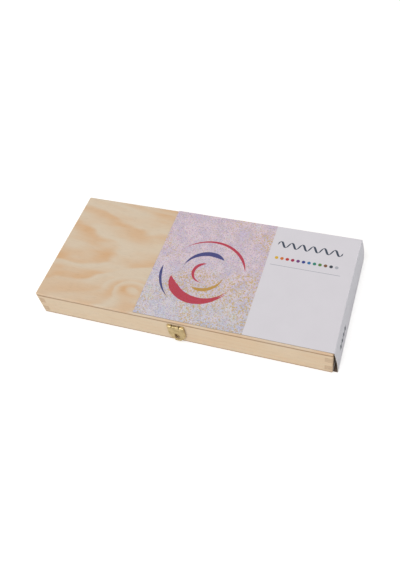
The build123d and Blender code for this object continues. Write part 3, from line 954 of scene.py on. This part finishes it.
def lathe(
    name: str,
    sections: list[tuple],
    steps: int,
    outline: Callable[..., tuple[float, float]],
    poles: tuple[float, float],
) -> Mesh:
    """A closed mesh round the Y axis.

    Args:
        name: The mesh's name.
        sections: Y of each ring, and what its outline needs.
        steps: How many points a ring has.
        outline: X and Z of a ring's point, from its turn and what the section needs.
        poles: Y of the points that close its start and its end.

    Returns:
        The mesh.
    """
    turns = [math.tau * at / steps for at in range(steps)]
    rings = []
    for y, *needs in sections:
        points = (outline(turn, *needs) for turn in turns)
        rings.append([(x, y, z) for x, z in points])
    start, end = ([(0.0, y, 0.0)] for y in poles)
    return skin([start, *rings, end], name)


def on_circle(turn: float, radius: float) -> tuple[float, float]:
    """Cosine and sine of a turn, times the radius."""
    return radius * math.cos(turn), radius * math.sin(turn)


class Growth(Group):
    """A geometry tree with named inputs, whose result becomes a plain mesh."""

    kind = "GeometryNodeTree"

    def close(self, geometry: Signal) -> None:
        """End the tree: real copies with the given material."""
        real = self.out("GeometryNodeRealizeInstances", {0: geometry})
        inputs = {"Geometry": real, "Material": self.given["Material"]}
        self.finish(Geometry=self.out("GeometryNodeSetMaterial", inputs))

    def random(self, low: Value, high: Value, seed: Value) -> Signal:
        """A random number for each element."""
        made = self.node("FunctionNodeRandomValue", data_type="FLOAT")
        labels = {socket.name: socket for socket in made.inputs if socket.enabled}
        for label, value in (("Min", low), ("Max", high), ("Seed", seed)):
            self.feed(labels[label], value)
        return Signal(self, next(socket for socket in made.outputs if socket.enabled))

    def shape(self, name: str) -> Signal:
        """The geometry of the object that is given under that name."""
        return self.out("GeometryNodeObjectInfo", {"Object": self.given[name]}, at="Geometry")

    def repeat(self, points: Signal) -> None:
        """End the tree: the given piece on every point, turned at random about the Y axis."""
        turn = self.random(0.0, self.given["Turn"], self.given["Seed"])
        rotation = self.out("FunctionNodeEulerToRotation", {0: self.join(0.0, turn, 0.0)})
        inputs = {"Points": points, "Instance": self.shape("Piece"), "Rotation": rotation}
        self.close(self.out("GeometryNodeInstanceOnPoints", inputs))

    def grow(self, name: str, **values: object) -> Object:
        """Run the tree.

        Args:
            name: The new object's name.
            values: Value of each input.

        Returns:
            An object at the origin with the result as its plain mesh.
        """
        made = add_object(name, bpy.data.meshes.new(name))
        modifier = made.modifiers.new(name, "NODES")
        modifier.node_group = self.tree
        for item in self.tree.interface.items_tree:
            if item.in_out == "INPUT":
                modifier[item.identifier] = spaced(values)[item.name]
        settle(made)
        return made


# ---- Sub-assemblies ----
@dataclass
class Case:
    """The pine case: frame boards, top and bottom panels and inner fittings."""

    top: Pine = Pine(
        "pine_top",
        heart_across=4.0,
        heart_up=-20.0,
        taper=0.17,
        ring_mm=14.0,
        wander_mm=30.0,
        tone=0.8,
        late="d9ad80",
        swells=(
            Swell(x=-68.0, y=-49.0, length=30.0, width=18.0, rise=32.0),
            Swell(x=-92.0, y=19.0, length=16.0, width=14.0, rise=2.0),
        ),
    )
    front: Pine = Pine(
        "pine_front",
        heart_across=-62.0,
        heart_up=120.0,
        ring_mm=1.9,
        wander_mm=3.0,
        early="e5d0b4",
        late="e2b98c",
    )
    back: Pine = Pine("pine_back", heart_across=60.0, heart_up=-90.0, ring_mm=2.1, wander_mm=4.0, tone=0.5)
    left: Pine = Pine("pine_left", -166.0, 62.0, Grain.ACROSS, ring_mm=2.0, wander_mm=3.0, tone=0.5)
    right: Pine = Pine("pine_right", 190.0, 74.0, Grain.ACROSS, ring_mm=2.0, wander_mm=3.0, tone=0.5)
    bottom: Pine = Pine("pine_bottom", heart_across=-14.0, heart_up=30.0, ring_mm=3.0, wander_mm=8.0)
    inner: Pine = Pine("pine_inner", heart_across=18.0, heart_up=-40.0, ring_mm=1.7, wander_mm=2.0, tone=0.45)

    def build(self) -> None:
        """Dress every wooden node."""
        dress(["lid_top_panel"], self.top.material())
        dress(["base_bottom_panel"], self.bottom.material())
        dress(["tube_rest_front", "tube_rest_back", "compartment_divider"], self.inner.material())
        walls = {"front": self.front, "back": self.back, "left": self.left, "right": self.right}
        for side, pine in walls.items():
            dress([f"base_{side}_wall", f"lid_{side}_wall"], pine.material())


@dataclass
class Hardware:
    """Hinges and clasp with the soft corners of stamped brass, and their screws and nails."""

    hinge: Metal = Metal("hinge_brass", "ccb27a", "8c7048", tarnished=0.35)
    clasp: Metal = Metal(
        "clasp_brass",
        "dfc998",
        "a08a5c",
        tarnished=0.35,
        # Painted shade in the barrel's knuckle gaps and along the strip above it, and painted shade with some
        # soiling round the slot.
        shades_and_grime=(
            BarrelShade(half=4.5, low=28.6, high=32.6, strip=31.35),
            SlotShadeAndGrime(middle=12.6, half_width=2.5, half_height=4.5),
        ),
    )
    pin: Metal = Metal("pin_steel", "c4c2bc", "8e8a82", tarnished=0.2)
    leaf_voxel: float = 0.2 * MM
    cover_voxel: float = 0.17 * MM
    lid_leaf_voxel: float = 0.13 * MM
    catch_voxel: float = 0.1 * MM
    crown: float = 0.35 * MM
    lip_reach: float = 1.8 * MM
    lip_share: float = 0.5
    smoothing: int = 6

    def build(self) -> None:
        """Dress the pins, stamp the sheet metal and set the screws and nails."""
        gilt = self.hinge.material()
        brass = self.clasp.material()
        dress(["left_hinge_pin", "right_hinge_pin"], gilt)
        dress(["clasp_pin"], self.pin.material())
        for body in ("base", "lid"):
            for side in ("left", "right"):
                leaf = self.stamp(f"{side}_hinge_{body}_leaf", self.leaf_voxel)
                finish_piece(leaf, gilt, body, sharp_degrees=60.0)
        for node, voxel, body in (
            ("clasp_cover", self.cover_voxel, "clasp"),
            ("clasp_lid_leaf", self.lid_leaf_voxel, "lid"),
            ("clasp_catch", self.catch_voxel, "base"),
        ):
            made = self.stamp(node, voxel)
            if body == "clasp":
                self.crown_face(made)
            finish_piece(made, brass, body, sharp_degrees=60.0)
        screws = Fixings(HeadStyle.SLOTTED, gilt, "hinge_brass", head_share=0.42)
        nails = Fixings(HeadStyle.PLAIN, brass, "clasp_brass", head_share=0.444)
        screws.build("base_hinge_screws", "base")
        screws.build("lid_hinge_screws", "lid")
        nails.build("clasp_leaf_nails", "lid")
        nails.build("clasp_catch_nails", "base")

    def stamp(self, node: str, voxel: float) -> Object:
        """A sheet-metal piece in place of its node, with the soft corners of a stamping.

        Args:
            node: The node that it replaces.
            voxel: Size of the faces of its even mesh.

        Returns:
            The piece, without material or body.
        """
        name = f"{node}_stamped"
        made = add_object(name, poured(merged(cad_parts[node].data), name))
        remesh = made.modifiers.new("even", "REMESH")
        remesh.mode = "VOXEL"
        remesh.voxel_size = voxel
        soften = made.modifiers.new("soften", "SMOOTH")
        soften.factor = 0.5
        soften.iterations = self.smoothing
        settle(made)
        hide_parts(node)
        return made

    def crown_face(self, cover: Object) -> None:
        """Push the middle of the cover's face forward and curl its lip, as the stamping tool does."""
        low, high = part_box("clasp_cover")
        middle = (low + high) / 2
        half = (high - low) / 2
        plate = low.y + self.lip_reach
        for vertex in cover.data.vertices:
            if vertex.co.y < plate and vertex.co.z < middle.z:
                vertex.co.y = plate + (vertex.co.y - plate) * self.lip_share
            across = min(abs(vertex.co.x) / half.x, 1.0)
            up = min(abs(vertex.co.z - middle.z) / half.z, 1.0)
            vertex.co.y -= self.crown * (1 - across**2) * (1 - up**2)


class HeadStyle(Enum):
    """What a fixing's head looks like from outside."""

    SLOTTED = "screw"
    PLAIN = "nail"


@dataclass
class Fixings:
    """Round-headed screws or nails, each turned its own way, in place of a node of plain ones.

    Shares are of the head's radius, the crown's of its radius and height, the slot's depth of its
    height, and the point's of the shank's length.
    """

    style: HeadStyle
    metal: Material
    slot: str
    head_share: float
    sides: int = 32
    crown: tuple[tuple[float, float], ...] = ((1.0, 0.0), (1.0, 0.2), (0.9, 0.58), (0.62, 0.86), (0.3, 0.97))
    shank_share: float = 0.42
    point_share: float = 0.18
    slot_share: float = 0.3
    slot_depth: float = 0.45
    seed: int = 11

    def build(self, node: str, body: str) -> None:
        """Set a fixing wherever the node has one.

        Args:
            node: The node of plain fixings.
            body: The body that it belongs to.
        """
        solids = self.solids(node)
        low, high = solids[0]
        tip, top = (low.y, high.y) if high.y > 0 else (high.y, low.y)
        radius = (high.x - low.x) / 2
        outward = math.copysign(radius, top)
        centres = [(low + high) / 2 * Vector((1, 0, 1)) for low, high in solids]
        places = bpy.data.meshes.new(f"{node}_places")
        places.from_pydata(centres, [], [])
        source = add_object(f"{node}_source", self.fixing(tip, top, outward))
        if self.style is HeadStyle.SLOTTED:
            self.cut_slot(source, top, outward)
        spots = add_object(f"{node}_spots", places)
        made = self.tree().grow(
            f"{node}_set", Piece=source, Places=spots, Turn=math.pi, Seed=self.seed, Material=self.metal
        )
        bpy.data.objects.remove(source)
        bpy.data.objects.remove(spots)
        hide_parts(node)
        finish_piece(made, self.metal, body, sharp_degrees=35.0)

    def solids(self, node: str) -> list[tuple[Vector, Vector]]:
        """The box of each separate solid of a node."""
        builder = merged(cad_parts[node].data)
        left = set(builder.verts)
        boxes = []
        while left:
            front = [left.pop()]
            points = []
            while front:
                vertex = front.pop()
                points.append(vertex.co.copy())
                near = {edge.other_vert(vertex) for edge in vertex.link_edges} & left
                left -= near
                front += near
            low, high = (Vector([end(axis) for axis in zip(*points)]) for end in (min, max))
            boxes.append((low, high))
        builder.free()
        return sorted(boxes, key=lambda box: tuple(box[0]))

    def fixing(self, tip: float, top: float, outward: float) -> Mesh:
        """One fixing round the Y axis: pointed shank and crowned head, of an outward radius."""
        radius = abs(outward)
        seat = top - outward * self.head_share
        shank = radius * self.shank_share
        sections = [(tip + (seat - tip) * self.point_share, shank), (seat, shank)]
        sections += [(seat + (top - seat) * up, radius * out) for out, up in self.crown]
        return lathe("fixing", sections, self.sides, on_circle, (tip, top))

    def cut_slot(self, source: Object, top: float, outward: float) -> None:
        """Cut the driver's slot across the head."""
        half = abs(outward) * self.slot_share / 2
        reach = 1.5 * abs(outward)
        floor = top - outward * self.head_share * self.slot_depth
        above = top + outward
        corners = [(-reach, -half), (reach, -half), (reach, half), (-reach, half)]
        rings = [[(x, y, z) for x, z in corners] for y in (floor, above)]
        cutter = add_object("cutter", skin([[(0.0, floor, 0.0)], *rings, [(0.0, above, 0.0)]], "cutter"))
        cut = source.modifiers.new("slot", "BOOLEAN")
        cut.object = cutter
        cut.solver = "EXACT"
        settle(source)
        bpy.data.objects.remove(cutter)

    def tree(self) -> Growth:
        """The tree that sets a fixing on each place, turned at random about its own axis."""
        tree = Growth(
            f"{self.style.value}s", Object="Piece, Places", Float="Turn", Int="Seed", Material="Material"
        )
        tree.repeat(tree.shape("Places"))
        return tree


@dataclass
class CardWrap:
    """The printed card over the right of the lid, folded down over the end of the case."""

    finish: PrintedCard = PrintedCard("printed_card")
    thickness: float = 0.5 * MM
    fold_gap: float = 0.9 * MM
    fold_radius: float = 0.9 * MM
    foot_radius: float = 0.6 * MM
    flap_gap: float = 0.12 * MM
    bow: float = 1.1 * MM
    lift: float = 0.35 * MM
    lift_reach: float = 40 * MM
    wave: float = 0.08 * MM
    wave_end: float = 170 * MM
    wave_fade: float = 30 * MM
    gape: float = 1.3 * MM
    dent: float = 0.25 * MM
    end_depth: float = 6 * MM
    rows: int = 33
    top_steps: int = 60
    end_steps: int = 14
    arc_steps: int = 6

    def build(self) -> None:
        """Build the wrap."""
        low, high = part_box("card_wrap")
        profile = self.profile(low, high)
        rings = []
        for row in range(self.rows):
            share = row / (self.rows - 1)
            y = low.y + (high.y - low.y) * share
            rings.append(
                [(x + self.sway(x, z, share, high), y, z + self.rise(x, share, low)) for x, z in profile]
            )
        made = add_object("printed_card_wrap", skin(rings, "printed_card_wrap", closed=False))
        solid = made.modifiers.new("card", "SOLIDIFY")
        solid.thickness = self.thickness
        solid.offset = -1.0
        settle(made)
        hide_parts("card_wrap")
        finish_piece(made, self.finish.material(), "wrap", sharp_degrees=40.0)

    def profile(self, low: Vector, high: Vector) -> list[tuple[float, float]]:
        """Points of the outer face in the XZ plane, from the free edge over the fold to the flap."""
        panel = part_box("lid_top_panel")[1].x
        fold = panel + self.fold_gap
        flap = panel + self.flap_gap
        start = fold - self.fold_radius
        head = high.z - self.fold_radius
        foot = low.z + self.foot_radius
        last = high.x - self.foot_radius
        turns = [math.pi / 2 * at / self.arc_steps for at in range(self.arc_steps + 1)]
        fold_arc = [on_circle(turn, self.fold_radius) for turn in turns]
        foot_arc = [on_circle(turn, self.foot_radius) for turn in turns[1:]]
        points = [(low.x + (start - low.x) * at / self.top_steps, high.z) for at in range(self.top_steps)]
        points += [(start + out, head + up) for up, out in fold_arc]
        for at in range(1, self.end_steps + 1):
            share = at / self.end_steps
            out = (high.x - fold) * share + self.bow * 4 * share * (1 - share)
            points.append((fold + out, head + (foot - head) * share))
        points += [(last + out, foot - down) for out, down in foot_arc]
        return [*points, ((last + flap) / 2, low.z), (flap, low.z)]

    def rise(self, x: float, share: float, low: Vector) -> float:
        """How far the top panel lifts off the lid, most at its free edge."""
        near = max(0.0, 1 - (x - low.x) / self.lift_reach)
        edge = near**2 * (0.4 + 0.6 * math.cos(math.pi * (share - 0.15)) ** 2)
        wave = self.wave * math.sin(share * 9.0 + x * 30.0) * math.sin(x * 55.0)
        inside = min(1.0, max(0.0, (self.wave_end - x) / self.wave_fade))
        return self.lift * edge + abs(wave) * inside

    def sway(self, x: float, z: float, share: float, high: Vector) -> float:
        """How far the end panel gapes at the top and leans in below, unevenly along its length."""
        if x < high.x - self.end_depth:
            return 0.0
        down = max(0.0, min(1.0, (high.z - z) / high.z))
        loose = self.gape * share**4 * (1 - down)
        uneven = 1 + math.sin(share * 5.0 - 0.6)
        return loose - self.dent * down * math.sin(math.pi * down) * uneven


@dataclass
class PaintTubes:
    """Twelve paint tubes with ribbed caps, side by side."""

    enamel: PaintTube = PaintTube("tube_enamel")
    plastic: Lacquer = Lacquer("cap_plastic", "e9e7e1", roughness=0.35)
    sides: int = 48
    taper_rows: int = 14
    neck: float = 4.2 * MM
    collar: float = 5.2 * MM
    collar_foot: float = 6.0 * MM
    radius: float = 8.75 * MM
    body_length: float = 93 * MM
    shoulder_length: float = 4.0 * MM
    barrel_length: float = 36.0 * MM
    crimp_length: float = 8.0 * MM
    crimp_half: tuple[float, float] = (13.7 * MM, 0.8 * MM)
    crimp_fold: float = 0.35 * MM
    bore_length: float = 9.1 * MM
    cap_ribs: int = 24
    rib_steps: int = 6
    rib_depth: float = 0.4 * MM
    seed: int = 7

    def build(self) -> None:
        """Build the row of tubes and the row of caps."""
        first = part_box("tube_01")
        start = (first[0] + first[1]) / 2
        tree = self.row_tree()
        for name, kind, piece, material, turn in (
            ("paint_tubes", "tube", self.tube(*first), self.enamel.material(), 0.0),
            ("paint_tube_caps", "tube_cap", self.cap(), self.plastic.material(), math.pi),
        ):
            source = add_object(f"{name}_source", piece)
            made = tree.grow(
                name,
                Piece=source,
                Count=TUBE_COUNT,
                Pitch=tube_pitch(),
                Start=start.x,
                Axis_Height=start.z,
                Turn=turn,
                Seed=self.seed,
                Material=material,
            )
            bpy.data.objects.remove(source)
            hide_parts(*[f"{kind}_{number:02d}" for number in range(1, TUBE_COUNT + 1)])
            finish_piece(made, material, "base", sharp_degrees=35.0)

    def row_tree(self) -> Growth:
        """The tree that sets copies of a piece in a row, each turned at random about its own axis."""
        tree = Growth(
            "row_of_pieces",
            Object="Piece",
            Float="Pitch, Start, Axis Height, Turn",
            Int="Count, Seed",
            Material="Material",
        )
        given = tree.given
        inputs = {
            "Count": given["Count"],
            "Start Location": tree.join(given["Start"], 0.0, given["Axis Height"]),
            "Offset": tree.join(given["Pitch"], 0.0, 0.0),
        }
        tree.repeat(tree.out("GeometryNodeMeshLine", inputs))
        return tree

    def tube(self, low: Vector, high: Vector) -> Mesh:
        """One tube round the Y axis: neck, collar, shoulder, barrel, taper and a folded crimp."""
        start, end = low.y, high.y
        base = end - self.body_length
        barrel = base + self.shoulder_length
        taper = barrel + self.barrel_length
        crimp = end - self.crimp_length
        flat_x, flat_z = self.crimp_half
        rounds = [
            (start, self.neck),
            (base, self.neck),
            (base, self.collar),
            (base + 0.6 * MM, self.collar_foot),
            (barrel - 0.6 * MM, self.radius - 0.5 * MM),
            (barrel + 0.4 * MM, self.radius),
        ]
        sections = [(y, radius, radius) for y, radius in rounds]
        for row in range(self.taper_rows + 1):
            share = row / self.taper_rows
            soft = share * share * (3 - 2 * share)
            wide = self.radius + (flat_x - self.radius) * (0.4 * share + 0.6 * soft)
            high = self.radius + (flat_z - self.radius) * (0.8 * share + 0.2 * soft)
            sections.append((taper + (crimp - taper) * share, wide, high))
        folded = flat_z + self.crimp_fold
        sections += [
            (crimp + 0.4 * MM, flat_x, folded),
            (end - 0.4 * MM, flat_x, folded),
            (end, flat_x, flat_z),
        ]
        return lathe("paint_tube", sections, self.sides, self.flattened, (start, end))

    @staticmethod
    def flattened(turn: float, wide: float, high: float) -> tuple[float, float]:
        """X and Z of a point on the tube's section: an oval, squared up where it is nearly flat."""
        power = 0.45 if high < 0.3 * wide else 1.0
        x, z = (math.copysign(abs(value) ** power, value) for value in (math.cos(turn), math.sin(turn)))
        return wide * x, high * z

    def cap(self) -> Mesh:
        """One ribbed screw cap round the Y axis, its closed end towards the front."""
        low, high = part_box("tube_cap_01")
        outer = (high.x - low.x) / 2
        closed, mouth = low.y, high.y
        bore = self.neck + 0.1 * MM
        bore_end = mouth - self.bore_length
        dish = closed + 0.3 * MM
        sections = [
            (dish, outer * 0.72, 0.0),
            (closed, outer * 0.78, 0.0),
            (closed, outer - 0.8 * MM, 0.0),
            (closed + 0.6 * MM, outer - 0.2 * MM, 0.4),
            (closed + 1.2 * MM, outer, 1.0),
            (mouth - 1.2 * MM, outer, 1.0),
            (mouth - 0.9 * MM, outer, 0.0),
            (mouth, outer, 0.0),
            (mouth, bore, 0.0),
            (bore_end, bore, 0.0),
        ]
        return lathe("tube_cap", sections, self.cap_ribs * self.rib_steps, self.ribbed, (dish, bore_end))

    def ribbed(self, turn: float, radius: float, ribs: float) -> tuple[float, float]:
        """X and Z of a point on the cap's section, with that share of the full ribs."""
        valley = 0.5 - 0.5 * math.cos(turn * self.cap_ribs)
        return on_circle(turn, radius - self.rib_depth * ribs * valley**2)


@dataclass
class Tools:
    """The brush and the dip pen."""

    handle: Lacquer = Lacquer("brush_lacquer", "7d2018", roughness=0.2, coat=0.6)
    holder: Lacquer = Lacquer("pen_lacquer", "23201f", coat=0.5)
    ferrule: Metal = Metal("nickel", "d3d2cd", "9b9890", tarnished=0.2, roughness=0.2)
    steel: Metal = Metal("nib_steel", "b9b9bd", "7c746c", tarnished=0.3, roughness=0.28)
    hair: Hair = Hair("sable", "2b160b", "8c5a31")
    strands: int = 420
    strand_radius: float = 0.11 * MM
    strand_points: int = 9
    strand_sides: int = 4
    seed: int = 3

    def build(self) -> None:
        """Dress both tools and grow the brush's hair."""
        dress(["brush_handle"], self.handle.material())
        dress(["brush_ferrule"], self.ferrule.material())
        dress(["pen_holder"], self.holder.material())
        dress(["pen_ferrule", "pen_nib"], self.steel.material())
        low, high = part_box("brush_hair")
        middle = (low + high) / 2
        material = self.hair.material()
        made = self.hair_tree().grow(
            "brush_bristles",
            Strands=self.strands,
            Length=high.x - low.x,
            Belly=(high.y - low.y) / 2 - self.strand_radius,
            Thickness=self.strand_radius,
            Root=(low.x, middle.y, middle.z),
            Seed=self.seed,
            Material=material,
        )
        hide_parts("brush_hair")
        finish_piece(made, material, "base", sharp_degrees=60.0)

    def hair_tree(self) -> Growth:
        """The tree that grows strands from a disc, out to a belly and in to a point."""
        tree = Growth(
            "brush_hair",
            Vector="Root",
            Float="Length, Belly, Thickness",
            Int="Strands, Seed",
            Material="Material",
        )
        given = tree.given
        turn = tree.random(0.0, math.tau, given["Seed"])
        reach = tree.random(0.0, 1.0, given["Seed"] + 1.0).root()
        spot = tree.join(0.0, reach * turn.cosine(), reach * turn.sine())
        points = tree.out("GeometryNodePoints", {"Count": given["Strands"], "Position": spot})
        line = tree.out("GeometryNodeCurvePrimitiveLine", {"Start": (0.0, 0.0, 0.0), "End": (1.0, 0.0, 0.0)})
        strand = tree.out("GeometryNodeResampleCurve", {"Curve": line, "Count": self.strand_points})
        placed = tree.out("GeometryNodeInstanceOnPoints", {"Points": points, "Instance": strand})
        real = tree.out("GeometryNodeRealizeInstances", {0: placed})
        share, y, z = tree.out("GeometryNodeInputPosition").split()
        belly = share.ease(0.0, 0.35) * 0.12 + 0.88
        point = 1.0 - share.ease(0.25, 1.02) ** 0.8
        across = belly * point * given["Belly"]
        ragged = y * z * 0.06 + 0.97
        moved = tree.join(share * ragged * given["Length"], y * across, z * across)
        laid = tree.out("GeometryNodeSetPosition", {"Geometry": real, "Position": moved + given["Root"]})
        inputs = {"Resolution": self.strand_sides, "Radius": given["Thickness"]}
        circle = tree.out("GeometryNodeCurvePrimitiveCircle", inputs)
        inputs = {"Curve": laid, "Profile Curve": circle, "Fill Caps": True}
        tree.close(tree.out("GeometryNodeCurveToMesh", inputs))
        return tree


@dataclass
class Studio:
    """Pale floor, one broad key light, a white sky and the photograph's camera."""

    camera_place: Triple = (0.2339, -0.4219, 0.6376)
    camera_turn: Triple = (37.44, 6.47, 17.44)
    lens: float = 40.61
    shift: tuple[float, float] = (-0.0371, -0.0222)
    floor_half: float = 6.0
    floor_colour: str = "eae9e7"
    floor_glow: float = 0.42
    key_from: Triple = (-0.3, -0.75, 1.0)
    key_strength: float = 1.38
    key_angle: float = 55.0
    sky_low: float = 0.3
    sky_high: float = 0.66

    def build(self) -> None:
        """Build the floor, the light, the sky and the camera."""
        self.floor()
        light = bpy.data.lights.new("key", "SUN")
        light.energy = self.key_strength
        light.angle = math.radians(self.key_angle)
        key = add_object("key", light)
        key.rotation_euler = (-Vector(self.key_from)).to_track_quat("-Z", "Y").to_euler()
        self.sky()
        bpy.context.scene.view_settings.view_transform = "Standard"
        self.camera()

    def floor(self) -> None:
        """A wide pale floor that glows a little in the picture itself."""
        half = self.floor_half
        corners = [[(x, y, 0.0) for y in (-half, half)] for x in (-half, half)]
        floor = add_object("floor", skin(corners, "floor", closed=False))
        surface = Surface("floor_paper")
        light = surface.position.noise(3.0, 3.0).spread(0.985, 1.0)
        seen = surface.out("ShaderNodeLightPath", at="Is Camera Ray")
        material = surface.paint(
            Base_Color=light.shade(self.floor_colour),
            Roughness=0.9,
            Emission_Color=WHITE,
            Emission_Strength=seen * self.floor_glow,
        )
        floor.data.materials.append(material)

    def sky(self) -> None:
        """A white backdrop, whose light on the case comes mostly from overhead."""
        world = bpy.data.worlds.new("sky")
        world.use_nodes = True
        world.node_tree.nodes.clear()
        wiring = Wiring(world.node_tree)
        height = wiring.out("ShaderNodeTexCoord", at="Generated").split()[2]
        glow = height.ease(-0.1, 0.9).spread(self.sky_low, self.sky_high)
        seen = wiring.out("ShaderNodeLightPath", at="Is Camera Ray")
        backdrop = wiring.out("ShaderNodeBackground", {"Color": WHITE, "Strength": glow.at_least(seen)})
        wiring.node("ShaderNodeOutputWorld", {"Surface": backdrop})
        bpy.context.scene.world = world

    def camera(self) -> None:
        """The photograph's camera."""
        data = bpy.data.cameras.new("camera")
        data.lens = self.lens
        data.shift_x, data.shift_y = self.shift
        made = add_object("camera", data)
        made.location = self.camera_place
        made.rotation_euler = Euler([math.radians(angle) for angle in self.camera_turn])
        bpy.context.scene.camera = made


def main() -> None:
    """Build the studio and every sub-assembly."""
    logging.basicConfig(level=logging.INFO)
    for part in (Studio(), Case(), Hardware(), CardWrap(), PaintTubes(), Tools()):
        part.build()
        log.info("%s built", type(part).__name__)


if __name__ == "__main__":
    main()
